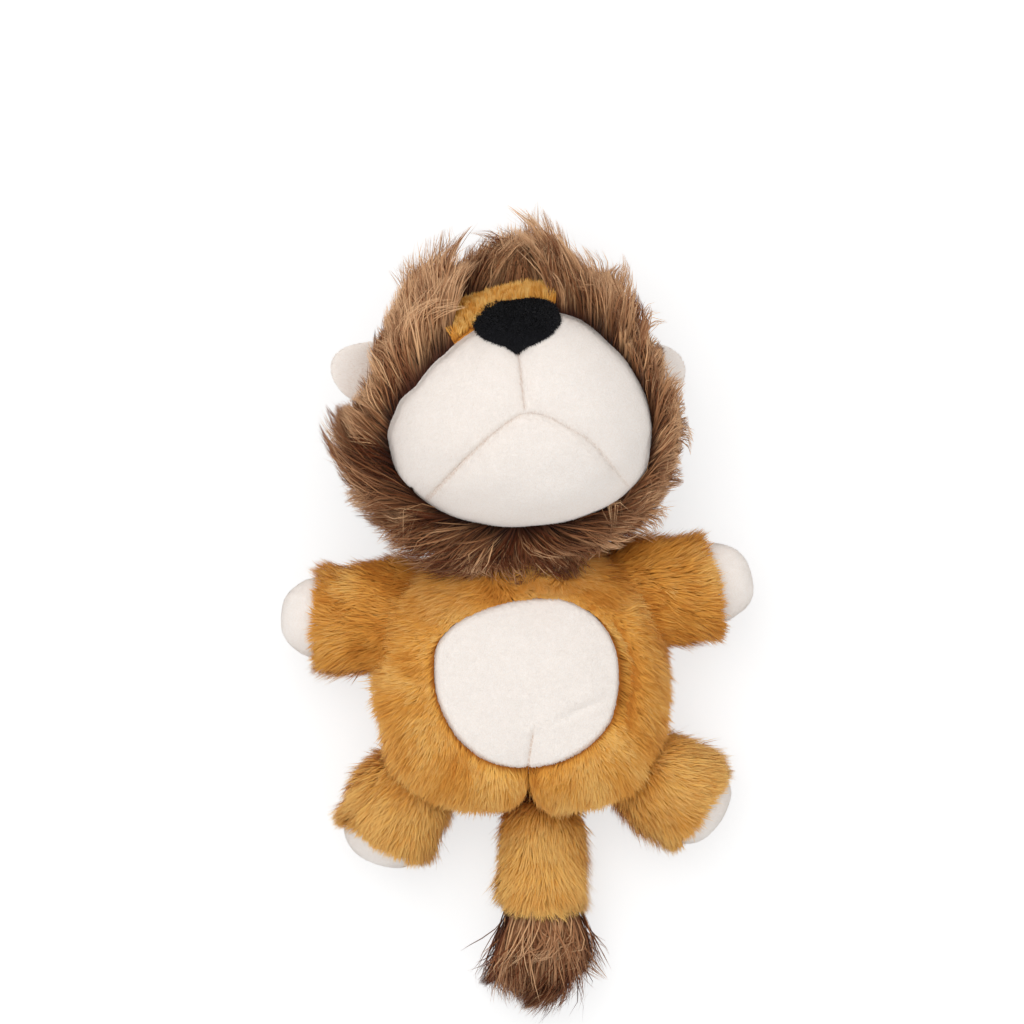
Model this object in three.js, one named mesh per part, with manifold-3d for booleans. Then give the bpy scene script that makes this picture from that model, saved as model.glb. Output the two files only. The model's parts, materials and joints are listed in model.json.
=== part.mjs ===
// A plush lion lying on its back, belly up, as an assembly of its sewn panels, stuffing and squeaker.
// Millimetres. +Z points up out of the belly, +Y to the head and +X to the viewer's right.
// The origin is the middle of the flat that the back of the torso rests on.
import * as THREE from 'three';
import { mergeVertices } from 'three/addons/utils/BufferGeometryUtils.js';
import Module from 'manifold-3d';

const wasm = await Module();
wasm.setup();

// Cloth, pile and clearances
const seamGap = 0.3; // between pieces that are sewn to or rest against each other
const velboaThickness = 2; // the short pile cloth of muzzle, belly patch, paws and ears
const goldenPile = 7; // cloth and mean pile of the golden fur
const hingeGap = 0.1; // between a limb's root seam and the torso, more where the torso is faceted
const rootCloth = 14; // from a limb's root seam to its stuffing, where the cloth is gathered
const restFlatDepth = 0.5; // how much of the back is pressed flat by lying on it

// Torso, as the mean surface of its pile
const torsoHalfWidth = 62;
const torsoReachToTail = 51;
const torsoReachToNeck = 66;
const torsoThickness = 76;
const torsoSquareness = 2.4;
const neckSeamAt = 60; // from the origin to the seam that closes the torso
const sideSeamHeight = 30; // of the seam between back and front panels
const centreSeamAcross = 2.4; // the front seam below the belly patch is a little right of the middle
const patchHalfWidth = 40.5;
const patchHalfLength = 37;
const patchAcross = 1.7;
const patchAlong = 3.3;
const patchSink = 4; // the short pile of the patch lies this much lower than the fur round it

// Squeaker in the middle of the torso's stuffing
const squeakerRadius = 19;
const squeakerNeckRadius = 6;
const squeakerNeckLength = 8;
const squeakerWall = 1.2;
const reedRadius = 4.2;
const reedLength = 6;
const reedBore = 1.6;
const squeakerClearance = 0.5;

// Neck, a ball of stuffing that the head nods and turns on
const neckRadius = 14;
const neckHeight = 44;
const neckAlong = 62;
const neckClearance = 0.9;

// Head, as the surface of its cloth, from a middle of its own
const headAcross = -1;
const headAlong = 112;
const headHeight = 62;
const headHalfWidth = 61;
const headReachToChin = 44;
const headReachToBrow = 58;
const headReachToFace = 56;
const headBackPile = 8; // between the floor and the cloth at the back of the head
const headSquareness = 2.2;
const browTaperShare = 0.12; // how much narrower the head is at the brow than at the cheeks

// Mane, as the mean surface of its pile, from the middle of the head
const maneShiftAcross = -4.5;
const maneShiftAlong = 11;
const maneSidePile = 12; // beyond the head's cloth
const maneCrownPile = 16;
const maneBeardPile = 22;
const maneRise = 26; // of its front above the middle of the head
const maneSquareness = 2.4;
const maneLockDepth = 1.6;
const beardHalfWidth = 44;
const beardReach = 17;
const beardDepth = 6;
const beardAlong = -49; // of the middle of the beard's tongue, from the middle of the head
const beardHeight = 19;
const ovalSquareness = 2; // of a plain oval
const crownBearing = 90; // degrees round from +X to the middle of the crown
const crownSeamHalfAngle = 42;
const beardBearing = 270;
const beardSeamHalfAngle = 47;
const napeSeamDrop = 36; // of the back of head panel's seam below the middle of the head
const chestSlopeAngle = 40; // of the beard's underside above level, so that it clears the chest
const napeSlopeAngle = 76;
const neckFaceReach = 5.5; // from the middle of the neck to the mane
const chestStartRise = 15.5; // from the middle of the neck up to where the beard's underside starts

// Forehead, muzzle seams and nose
const foreheadHalfWidth = 18;
const foreheadDepth = 7;
const noseWidth = 38;
const noseHeight = 22;
const noseThickness = 4.5;
const noseAcross = -1.8;
const noseBelowBrow = 11.5; // from the brow down to the nose's widest line
const philtrumAcross = 1.9;
const mouthAlong = 7.8; // from the middle of the head to where the mouth seams meet
const mouthHalfWidth = 47;
const mouthDrop = 37;

// Ears
const earReach = 26;
const earHalfHeight = 15;
const earThickness = 4;
const earAlong = 24; // of its fold line's middle from the middle of the head
const earGap = 0.1; // between the fold line and the head, more where the head is faceted
const earRootAngle = 38; // how fast an ear thickens from its fold line
const earClearance = 1.5;
const earPocketUpAngle = 84;
const earPocketDownAngle = 38;
const leftEarDrop = 2; // of its fold line below the middle of the head
const rightEarDrop = 28; // lower, because the head is turned a little to the right
const rightEarTiltAngle = 40;

// Limbs, from their root seam
const armSleeveLength = 35.5;
const armHalfWidth = 23.5;
const armHalfHeight = 21;
const armHeight = 34;
const pawHalfWidth = 17.5;
const pawHalfHeight = 15.5;
const pawReach = 12.5; // beyond the sleeve
const legSleeveLength = 36;
const legHalfWidth = 22.5;
const legHalfHeight = 22;
const legHeight = 28;
const soleHalfWidth = 17.5;
const soleHalfHeight = 17;
const soleReach = 8; // beyond the sleeve
const tipInside = 7; // how far the widest place of a paw or sole lies inside its sleeve
const tipSquareness = 2.3;
const armLiftAngle = 40; // from level, of the slope that lets an arm lift
const armDropAngle = 58;
const legLiftAngle = 36;
const legDropAngle = 60;

// Tail
const tailSleeveLength = 47;
const tailHalfWidth = 18;
const tailHalfHeight = 16.5;
const tailHeight = 22;
const tuftReach = 42; // beyond the golden sleeve
const tuftHalfWidth = 19;
const tuftHalfHeight = 14.5;
const tuftInside = 6;
const tailLiftAngle = 28;
const tailDropAngle = 60;

// How a limb swells and tapers from its root seam to its cuff
const sleeveAlongShares = [-0.3, 0, 0.25, 0.55, 0.8, 0.94, 1];
const sleeveGirthShares = [0.7, 0.82, 0.93, 1, 1, 0.97, 0.9];
const tailAlongShares = [-0.3, 0, 0.25, 0.55, 0.85, 1];
const tailGirthShares = [0.86, 0.9, 0.95, 1, 1, 0.98];
const tuftAlongShares = [0, 0.14, 0.32, 0.52, 0.72, 0.88, 1];
const tuftGirthShares = [0.66, 0.9, 1, 0.9, 0.64, 0.36, 0.08];

// Half of the nose's outline from its tip up to its top, across and along
const noseAcrossShares = [0, 0.42, 0.86, 1, 0.86, 0.5, 0];
const noseAlongShares = [-0.56, -0.34, -0.12, 0.08, 0.28, 0.41, 0.44];

// The mouth seam from the middle to the edge of the muzzle
const mouthAcrossShares = [0, 0.46, 0.8, 1.25];
const mouthAlongShares = [0, 0.35, 0.82, 1.7];

// Counts
const clothSides = 24;
const clothRings = 12;
const fillSides = 14;
const fillRings = 8;
const maneSides = 32;
const maneRings = 9;
const maneLocks = 9;
const limbSides = 12;
const limbFillSides = 8;
const tipRings = 6;
const smallSides = 12;
const smallRings = 6;
const outlineSteps = 18;

const fullTurn = 360;
const degree = (2 * Math.PI) / fullTurn;
const torsoHalfThickness = torsoThickness / 2;
const torsoMiddle = torsoHalfThickness - restFlatDepth;
const noseAlong = headReachToBrow - noseBelowBrow;
const headReachToNape = headHeight - headBackPile;
const maneHalfWidth = headHalfWidth + maneSidePile;
const maneReachToCrown = headReachToBrow + maneCrownPile;
const maneReachToBeard = headReachToChin + maneBeardPile;
const farAway = 4 * (torsoReachToNeck + headReachToBrow); // longer than anything that it cuts

/** Turns a closed geometry into a solid that can be cut and joined. */
function solidOf(geometry) {
  const bare = new THREE.BufferGeometry();
  bare.setAttribute('position', geometry.getAttribute('position'));
  bare.setIndex(geometry.getIndex());
  const merged = mergeVertices(bare);
  return new wasm.Manifold(
    new wasm.Mesh({
      numProp: 3,
      vertProperties: new Float32Array(merged.getAttribute('position').array),
      triVerts: new Uint32Array(merged.getIndex().array),
    }),
  );
}

/** Turns a solid back into a named mesh with its own finish. */
function pieceOf(name, solid, finish) {
  const cut = solid.getMesh();
  const geometry = new THREE.BufferGeometry();
  const corners = new Float32Array(cut.numVert * 3);
  for (let i = 0; i < cut.numVert; i += 1) {
    for (let k = 0; k < 3; k += 1) {
      corners[3 * i + k] = cut.vertProperties[cut.numProp * i + k];
    }
  }
  geometry.setAttribute('position', new THREE.BufferAttribute(corners, 3));
  geometry.setIndex(new THREE.BufferAttribute(new Uint32Array(cut.triVerts), 1));
  const flat = geometry.toNonIndexed();
  flat.computeVertexNormals();
  const piece = new THREE.Mesh(flat, new THREE.MeshStandardMaterial(finish));
  piece.name = name;
  return piece;
}

/**
 * A stuffed ball, drawn out from its middle by its own reach each way.
 * form has the reaches left, right, down, up, low and high; grow moves the whole surface outwards.
 */
function stuffedBall(form, grow, sides, rings, poleAxis) {
  const ball = new THREE.SphereGeometry(1, sides, rings);
  if (poleAxis === 'z') {
    ball.rotateX(Math.PI / 2);
  }
  if (poleAxis === 'x') {
    ball.rotateZ(Math.PI / 2);
  }
  const places = ball.getAttribute('position');
  const power = form.squareness;
  for (let i = 0; i < places.count; i += 1) {
    const unit = new THREE.Vector3().fromBufferAttribute(places, i);
    const sum = [unit.x, unit.y, unit.z].reduce((total, v) => total + Math.abs(v) ** power, 0);
    unit.divideScalar(sum ** (1 / power));
    const inPlan = Math.hypot(unit.x, unit.y);
    const lock = (form.lockDepth ?? 0) * Math.cos((form.locks ?? 0) * Math.atan2(unit.y, unit.x));
    const proud = grow + lock * inPlan;
    const narrowing = 1 - (form.taperShare ?? 0) * Math.max(0, unit.y) ** 2;
    places.setXYZ(
      i,
      unit.x * ((unit.x < 0 ? form.left : form.right) + proud) * narrowing,
      unit.y * ((unit.y < 0 ? form.down : form.up) + proud),
      unit.z * ((unit.z < 0 ? form.low : form.high) + grow),
    );
  }
  return ball;
}

/** A stuffed tube along +X: rings of one section each, closed by a flat face at both ends. */
function stuffedTube(stations, sides) {
  const corners = [];
  const faces = [];
  const last = stations.length - 1;
  for (const { along, halfWidth, halfHeight } of stations) {
    for (let i = 0; i < sides; i += 1) {
      const turn = (2 * Math.PI * i) / sides;
      corners.push(along, halfWidth * Math.cos(turn), halfHeight * Math.sin(turn));
    }
  }
  corners.push(stations[0].along, 0, 0, stations[last].along, 0, 0);
  const startMiddle = sides * stations.length;
  for (let i = 0; i < sides; i += 1) {
    const next = (i + 1) % sides;
    for (let ring = 0; ring < last; ring += 1) {
      const here = ring * sides;
      faces.push(here + i, here + next, here + sides + i);
      faces.push(here + next, here + sides + next, here + sides + i);
    }
    faces.push(startMiddle, next, i);
    faces.push(startMiddle + 1, last * sides + i, last * sides + next);
  }
  const tube = new THREE.BufferGeometry();
  tube.setAttribute('position', new THREE.Float32BufferAttribute(corners, 3));
  tube.setIndex(faces);
  return tube;
}

/** The stations of a tube whose girth follows shares of its length and of its half width and height. */
function swelling(alongShares, girthShares, length, halfWidth, halfHeight) {
  return alongShares.map((share, i) => ({
    along: share * length,
    halfWidth: girthShares[i] * halfWidth,
    halfHeight: girthShares[i] * halfHeight,
  }));
}

/** A plan outline, given as a list of [x, y], raised from low to high. */
function raised(outline, low, high) {
  const shape = new THREE.Shape(outline.map(([x, y]) => new THREE.Vector2(x, y)));
  const column = new THREE.ExtrudeGeometry(shape, { depth: high - low, bevelEnabled: false });
  return column.translate(0, 0, low);
}

/** Everything on the side of a point that an outward direction in the YZ plane gives. */
function beyondSlope(along, height, outAlong, outHeight) {
  const block = new THREE.BoxGeometry(farAway, farAway, farAway);
  block.translate(0, 0, farAway / 2);
  block.rotateX(Math.atan2(-outAlong, outHeight));
  return solidOf(block.translate(0, along, height));
}

/** Everything between two angles round the Z axis, less half a seam's gap on either side. */
function sector(from, to, middleX, middleY, height) {
  const half = ((to - from) / 2) * degree;
  const bisector = ((from + to) / 2) * degree;
  const apex = seamGap / 2 / Math.sin(half);
  const tip = [middleX + apex * Math.cos(bisector), middleY + apex * Math.sin(bisector)];
  const rim = [-1, 0, 1].map((k) => {
    const angle = bisector + k * half;
    return [tip[0] + farAway * Math.cos(angle), tip[1] + farAway * Math.sin(angle)];
  });
  return solidOf(raised([tip, ...rim], -height, height));
}

/** A wedge along Y that opens towards +X from a line at the given place, between two angles from level. */
function wedge(from, reach, up, down, halfWidth) {
  const shape = new THREE.Shape([
    new THREE.Vector2(from, 0),
    new THREE.Vector2(from + reach, -reach * Math.tan(down * degree)),
    new THREE.Vector2(from + reach, reach * Math.tan(up * degree)),
  ]);
  const prism = new THREE.ExtrudeGeometry(shape, { depth: 2 * halfWidth, bevelEnabled: false });
  prism.translate(0, 0, -halfWidth);
  prism.rotateX(Math.PI / 2);
  return solidOf(prism);
}

const goldenFur = { color: 0xc8893c, roughness: 0.95, metalness: 0 };
const maneFur = { color: 0x7d553c, roughness: 0.9, metalness: 0 };
const whiteVelboa = { color: 0xf0e8e1, roughness: 0.92, metalness: 0 };
const blackVelboa = { color: 0x0e0e12, roughness: 0.9, metalness: 0 };
const fibreFill = { color: 0xf4f3ee, roughness: 1, metalness: 0 };
const squeakerPlastic = { color: 0xe9e9e4, roughness: 0.45, metalness: 0 };

// Torso

const torsoForm = {
  left: torsoHalfWidth,
  right: torsoHalfWidth,
  down: torsoReachToTail,
  up: torsoReachToNeck,
  low: torsoHalfThickness,
  high: torsoHalfThickness,
  squareness: torsoSquareness,
};

/** The torso's form, grown or shrunk, closed at the neck seam and flat where it rests. */
function torsoSolid(grow) {
  const sides = grow < -patchSink ? fillSides : clothSides;
  const rings = grow < -patchSink ? fillRings : clothRings;
  const ball = stuffedBall(torsoForm, grow, sides, rings, 'y');
  const whole = solidOf(ball.translate(0, 0, torsoMiddle));
  const pastNeck = beyondSlope(neckSeamAt + Math.min(0, grow), 0, 1, 0);
  const underFloor = beyondSlope(0, Math.max(0, -grow), 0, -1);
  return whole.subtract(pastNeck).subtract(underFloor);
}

/** An oval column that follows the belly patch. */
function patchColumn(grow) {
  const outline = [];
  for (let i = 0; i < outlineSteps; i += 1) {
    const turn = (2 * Math.PI * i) / outlineSteps;
    outline.push([
      patchAcross + (patchHalfWidth + grow) * Math.cos(turn),
      patchAlong + (patchHalfLength + grow) * Math.sin(turn),
    ]);
  }
  return solidOf(raised(outline, sideSeamHeight + seamGap, farAway));
}

/** A box from one corner to the other. */
function block(low, high) {
  const box = new THREE.BoxGeometry(high[0] - low[0], high[1] - low[1], high[2] - low[2]);
  return solidOf(box.translate((low[0] + high[0]) / 2, (low[1] + high[1]) / 2, (low[2] + high[2]) / 2));
}

/** A ball at the middle of the neck. */
function neckBall(grow) {
  const ball = new THREE.SphereGeometry(neckRadius + grow, smallSides, smallRings);
  return solidOf(ball.rotateX(Math.PI / 2).translate(0, neckAlong, neckHeight));
}

/** The squeaker's outer form: a ball with a short neck towards the back. */
function squeakerForm(grow) {
  const ball = new THREE.SphereGeometry(squeakerRadius + grow, smallSides, smallRings);
  const neckDepth = squeakerRadius + squeakerNeckLength;
  const neck = new THREE.CylinderGeometry(
    squeakerNeckRadius + grow,
    squeakerNeckRadius + grow,
    neckDepth + grow,
    smallSides,
  );
  neck.rotateX(Math.PI / 2).translate(0, 0, -(neckDepth + grow) / 2);
  return solidOf(ball.rotateX(Math.PI / 2)).add(solidOf(neck)).translate([0, 0, torsoMiddle]);
}

function torsoPieces() {
  const stuffingSpace = torsoSolid(seamGap - goldenPile);
  const socket = neckBall(neckClearance);
  const shell = torsoSolid(0).subtract(stuffingSpace).subtract(socket);
  const halfGap = seamGap / 2;
  const backSide = block([-farAway, -farAway, -farAway], [farAway, farAway, sideSeamHeight - halfGap]);
  const frontLow = sideSeamHeight + halfGap;
  const leftSide = block(
    [-farAway, -farAway, frontLow],
    [centreSeamAcross - halfGap, farAway, farAway],
  );
  const rightSide = block(
    [centreSeamAcross + halfGap, -farAway, frontLow],
    [farAway, farAway, farAway],
  );
  const fronts = shell.subtract(patchColumn(halfGap));
  const patch = torsoSolid(-patchSink).subtract(stuffingSpace).intersect(patchColumn(-halfGap));

  const squeakerHole = squeakerForm(squeakerClearance);
  const inlet = new THREE.CylinderGeometry(
    squeakerNeckRadius + squeakerClearance,
    squeakerNeckRadius + squeakerClearance,
    torsoMiddle,
    smallSides,
  );
  inlet.rotateX(Math.PI / 2).translate(0, 0, torsoMiddle / 2);
  const stuffing = torsoSolid(-goldenPile)
    .subtract(socket)
    .subtract(squeakerHole)
    .subtract(solidOf(inlet));

  const airSpace = new THREE.SphereGeometry(squeakerRadius - squeakerWall, smallSides, smallRings);
  const mouth = new THREE.CylinderGeometry(
    reedRadius + seamGap,
    reedRadius + seamGap,
    torsoMiddle,
    smallSides,
  );
  mouth.rotateX(Math.PI / 2).translate(0, 0, torsoMiddle / 2);
  const bulb = squeakerForm(0)
    .subtract(solidOf(airSpace.rotateX(Math.PI / 2).translate(0, 0, torsoMiddle)))
    .subtract(solidOf(mouth));
  const reedEnd = torsoMiddle - squeakerRadius - squeakerNeckLength;
  const reedSection = [
    [reedBore, 0],
    [reedRadius, 0],
    [reedRadius, reedLength],
    [reedBore, reedLength],
    [reedBore, 0],
  ];
  const reed = new THREE.LatheGeometry(
    reedSection.map(([r, z]) => new THREE.Vector2(r, z)),
    smallSides,
  );
  reed.rotateX(Math.PI / 2).translate(0, 0, reedEnd);

  return [
    pieceOf('torso_back_panel', shell.intersect(backSide), goldenFur),
    pieceOf('torso_front_left_panel', fronts.intersect(leftSide), goldenFur),
    pieceOf('torso_front_right_panel', fronts.intersect(rightSide), goldenFur),
    pieceOf('belly_patch', patch, whiteVelboa),
    pieceOf('torso_stuffing', stuffing, fibreFill),
    pieceOf('squeaker_bulb', bulb, squeakerPlastic),
    pieceOf('squeaker_reed', solidOf(reed), squeakerPlastic),
  ];
}

// Head, round its own middle

const headForm = {
  left: headHalfWidth,
  right: headHalfWidth,
  down: headReachToChin,
  up: headReachToBrow,
  low: headReachToNape,
  high: headReachToFace,
  squareness: headSquareness,
  taperShare: browTaperShare,
};

const maneForm = {
  left: maneHalfWidth,
  right: maneHalfWidth,
  down: maneReachToBeard,
  up: maneReachToCrown,
  low: headHeight + restFlatDepth,
  high: maneRise,
  squareness: maneSquareness,
  locks: maneLocks,
  lockDepth: maneLockDepth,
};

/** The head's cloth form, grown or shrunk. */
function headSolid(grow) {
  const sides = grow < 0 ? fillSides : clothSides;
  const rings = grow < 0 ? fillRings : clothRings;
  return solidOf(stuffedBall(headForm, grow, sides, rings, 'z'));
}

/** How far the head's cloth reaches sideways at a height and place along, both from its middle. */
function headHalfWidthAt(along, height) {
  const power = headSquareness;
  const alongShare = Math.abs(along / headReachToBrow) ** power;
  const heightShare = Math.abs(height / headReachToNape) ** power;
  const narrowing = 1 - browTaperShare * (along / headReachToBrow) ** 2;
  return headHalfWidth * (1 - alongShare - heightShare) ** (1 / power) * narrowing;
}

/** The mane's whole form with the beard's tongue, cut clear of the floor, chest and nape. */
function maneSolid() {
  const ball = stuffedBall(maneForm, 0, maneSides, maneRings, 'z');
  const round = solidOf(ball.translate(maneShiftAcross, maneShiftAlong, 0));
  const tongueForm = {
    left: beardHalfWidth,
    right: beardHalfWidth,
    down: beardReach,
    up: beardReach,
    low: beardDepth,
    high: beardDepth,
    squareness: ovalSquareness,
  };
  const tongue = stuffedBall(tongueForm, 0, clothSides, tipRings, 'z');
  const beard = solidOf(tongue.translate(0, beardAlong, beardHeight));
  const neckY = neckAlong + neckFaceReach - headAlong;
  const neckZ = neckHeight - headHeight;
  const chest = beyondSlope(
    neckY,
    neckZ + chestStartRise,
    -Math.sin(chestSlopeAngle * degree),
    -Math.cos(chestSlopeAngle * degree),
  );
  const nape = beyondSlope(
    neckY,
    neckZ,
    -Math.sin(napeSlopeAngle * degree),
    -Math.cos(napeSlopeAngle * degree),
  );
  const underFloor = beyondSlope(0, -headHeight, 0, -1);
  return round.add(beard).subtract(underFloor).subtract(chest.intersect(nape));
}

const ears = [
  { side: 'left', across: -1, height: -leftEarDrop, tilt: 0 },
  { side: 'right', across: 1, height: -rightEarDrop, tilt: rightEarTiltAngle },
];

/** Where an ear is sewn to the head: the middle of its fold line, and the direction square to the head. */
function earSeat(ear) {
  const power = headSquareness;
  const x = ear.across * headHalfWidthAt(earAlong, ear.height);
  const outX = ear.across * (Math.abs(x / headHalfWidth) ** (power - 1) / headHalfWidth);
  const outY = Math.abs(earAlong / headReachToBrow) ** (power - 1) / headReachToBrow;
  const square = Math.atan2(outY, outX);
  return {
    place: new THREE.Vector3(
      x + earGap * Math.cos(square),
      earAlong + earGap * Math.sin(square),
      ear.height,
    ),
    square,
  };
}

/** Places a solid that was made in an ear's own frame. */
function inEarFrame(ear, solid) {
  const { place, square } = earSeat(ear);
  return solid.rotate([0, ear.tilt, square / degree]).translate([place.x, place.y, place.z]);
}

/** The nose's outline in plan, mirrored from its right half. */
function noseOutline() {
  const right = noseAcrossShares.map((share, i) => [
    (share * noseWidth) / 2,
    noseAlongShares[i] * noseHeight,
  ]);
  const left = right.slice(1, -1).reverse().map(([x, y]) => [-x, y]);
  const curve = new THREE.CatmullRomCurve3(
    [...right, ...left].map(([x, y]) => new THREE.Vector3(x, y, 0)),
    true,
  );
  const points = curve.getPoints(outlineSteps).slice(0, -1);
  return points.map((p) => [p.x + noseAcross, p.y + noseAlong]);
}

/** The chin's region in plan, below both mouth seams, or what lies above them on one side. */
function muzzleRegions() {
  const halfGap = seamGap / 2;
  const seam = mouthAcrossShares.map((share, i) => [
    share * mouthHalfWidth,
    mouthAlong - mouthAlongShares[i] * mouthDrop,
  ]);
  const rightSeam = seam.map(([x, y]) => [philtrumAcross + x, y]);
  const leftSeam = seam.map(([x, y]) => [philtrumAcross - x, y]);
  const drop = ([x, y]) => [x, y - halfGap];
  const lift = ([x, y]) => [x, y + halfGap];
  const chin = [...leftSeam.slice(1).reverse(), ...rightSeam].map(drop);
  chin.push([farAway, -farAway], [-farAway, -farAway]);
  const rightCheek = rightSeam.map(lift);
  rightCheek[0] = [philtrumAcross + halfGap, mouthAlong + halfGap];
  rightCheek.push([farAway, -farAway], [farAway, farAway], [philtrumAcross + halfGap, farAway]);
  const leftCheek = leftSeam.map(lift);
  leftCheek[0] = [philtrumAcross - halfGap, mouthAlong + halfGap];
  leftCheek.push([-farAway, -farAway], [-farAway, farAway], [philtrumAcross - halfGap, farAway]);
  return { chin, rightCheek, leftCheek };
}

function headPieces() {
  const face = headSolid(0);
  const stuffingSpace = headSolid(-velboaThickness);
  const behindRim = block([-farAway, -farAway, -farAway], [farAway, farAway, 0]);
  const socket = neckBall(neckClearance).translate([-headAcross, -headAlong, -headHeight]);
  const muzzle = face.subtract(stuffingSpace).subtract(behindRim).subtract(socket);
  const faceSpace = headSolid(seamGap).subtract(behindRim.translate([0, 0, -seamGap]));
  const pockets = ears.map((ear) => {
    const pocket = wedge(
      -earClearance,
      maneHalfWidth,
      earPocketUpAngle,
      earPocketDownAngle,
      earHalfHeight + earClearance,
    );
    return inEarFrame(ear, pocket);
  });
  let mane = maneSolid().subtract(stuffingSpace).subtract(faceSpace).subtract(socket);
  for (const pocket of pockets) {
    mane = mane.subtract(pocket);
  }

  const nose = solidOf(raised(noseOutline(), 0, farAway))
    .intersect(headSolid(noseThickness))
    .subtract(headSolid(seamGap));
  const noseSpace = solidOf(raised(noseOutline(), 0, farAway));
  mane = mane.subtract(noseSpace);

  const foreheadTop = headReachToBrow + foreheadDepth;
  const foreheadSide = (grow) =>
    block(
      [noseAcross - foreheadHalfWidth - grow, 0, 0],
      [noseAcross + foreheadHalfWidth + grow, foreheadTop + grow, farAway],
    );
  const forehead = mane.intersect(foreheadSide(-seamGap / 2));
  mane = mane.subtract(foreheadSide(seamGap / 2));

  const napeSeam = -napeSeamDrop;
  const napeSide = block([-farAway, -farAway, -farAway], [farAway, farAway, napeSeam - seamGap / 2]);
  const maneSide = block([-farAway, -farAway, napeSeam + seamGap / 2], [farAway, farAway, farAway]);
  const ring = mane.intersect(maneSide);
  const crownStart = crownBearing - crownSeamHalfAngle;
  const crownEnd = crownBearing + crownSeamHalfAngle;
  const beardStart = beardBearing - beardSeamHalfAngle;
  const beardEnd = beardBearing + beardSeamHalfAngle;
  const maneSector = (from, to) => ring.intersect(sector(from, to, 0, 0, farAway));

  const regions = muzzleRegions();
  const muzzlePart = (outline) => muzzle.intersect(solidOf(raised(outline, -farAway, farAway)));
  const stuffing = headSolid(-velboaThickness - seamGap).subtract(socket);

  return [
    pieceOf('mane_crown_panel', maneSector(crownStart, crownEnd), maneFur),
    pieceOf('mane_left_panel', maneSector(crownEnd, beardStart), maneFur),
    pieceOf('mane_beard_panel', maneSector(beardStart, beardEnd), maneFur),
    pieceOf('mane_right_panel', maneSector(beardEnd - fullTurn, crownStart), maneFur),
    pieceOf('head_back_panel', mane.intersect(napeSide), maneFur),
    pieceOf('forehead_panel', forehead, goldenFur),
    pieceOf('muzzle_left_panel', muzzlePart(regions.leftCheek), whiteVelboa),
    pieceOf('muzzle_right_panel', muzzlePart(regions.rightCheek), whiteVelboa),
    pieceOf('chin_panel', muzzlePart(regions.chin), whiteVelboa),
    pieceOf('nose', nose, blackVelboa),
    pieceOf('head_stuffing', stuffing, fibreFill),
  ];
}

/** One ear in its own frame, its fold line on the Y axis: a front and a back cloth sewn round the edge. */
function earPieces(ear) {
  const flap = stuffedBall(
    {
      left: earReach,
      right: earReach,
      down: earHalfHeight,
      up: earHalfHeight,
      low: earThickness / 2,
      high: earThickness / 2,
      squareness: ovalSquareness,
    },
    0,
    limbSides,
    tipRings,
    'z',
  );
  const root = wedge(0, 2 * earReach, earRootAngle, earRootAngle, earReach);
  const whole = solidOf(flap).intersect(root);
  const front = whole.intersect(
    block([-farAway, -farAway, seamGap / 2], [farAway, farAway, farAway]),
  );
  const back = whole.intersect(
    block([-farAway, -farAway, -farAway], [farAway, farAway, -seamGap / 2]),
  );
  return [
    pieceOf(`ear_${ear.side}_front`, front, whiteVelboa),
    pieceOf(`ear_${ear.side}_back`, back, whiteVelboa),
  ];
}

// Limbs, each in a frame whose +X leaves the torso square to its surface and whose Y axis is its root seam

const limbs = [
  { name: 'arm_left', kind: 'arm', seatAngle: 153, heading: 177 },
  { name: 'arm_right', kind: 'arm', seatAngle: 36.5, heading: 14 },
  { name: 'leg_left', kind: 'leg', seatAngle: 217.5, heading: 241 },
  { name: 'leg_right', kind: 'leg', seatAngle: 326.5, heading: 329 },
  { name: 'tail', kind: 'tail', seatAngle: 280, heading: 270 },
];

const limbKinds = {
  arm: {
    height: armHeight,
    sleeveLength: armSleeveLength,
    halfWidth: armHalfWidth,
    halfHeight: armHalfHeight,
    alongShares: sleeveAlongShares,
    girthShares: sleeveGirthShares,
    up: armLiftAngle,
    down: armDropAngle,
    tip: 'paw',
    tipReach: pawReach,
    tipHalfWidth: pawHalfWidth,
    tipHalfHeight: pawHalfHeight,
  },
  leg: {
    height: legHeight,
    sleeveLength: legSleeveLength,
    halfWidth: legHalfWidth,
    halfHeight: legHalfHeight,
    alongShares: sleeveAlongShares,
    girthShares: sleeveGirthShares,
    up: legLiftAngle,
    down: legDropAngle,
    tip: 'sole',
    tipReach: soleReach,
    tipHalfWidth: soleHalfWidth,
    tipHalfHeight: soleHalfHeight,
  },
  tail: {
    height: tailHeight,
    sleeveLength: tailSleeveLength,
    halfWidth: tailHalfWidth,
    halfHeight: tailHalfHeight,
    alongShares: tailAlongShares,
    girthShares: tailGirthShares,
    up: tailLiftAngle,
    down: tailDropAngle,
    tip: 'tuft',
    tipReach: tuftReach,
    tipHalfWidth: tuftHalfWidth,
    tipHalfHeight: tuftHalfHeight,
  },
};

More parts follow.
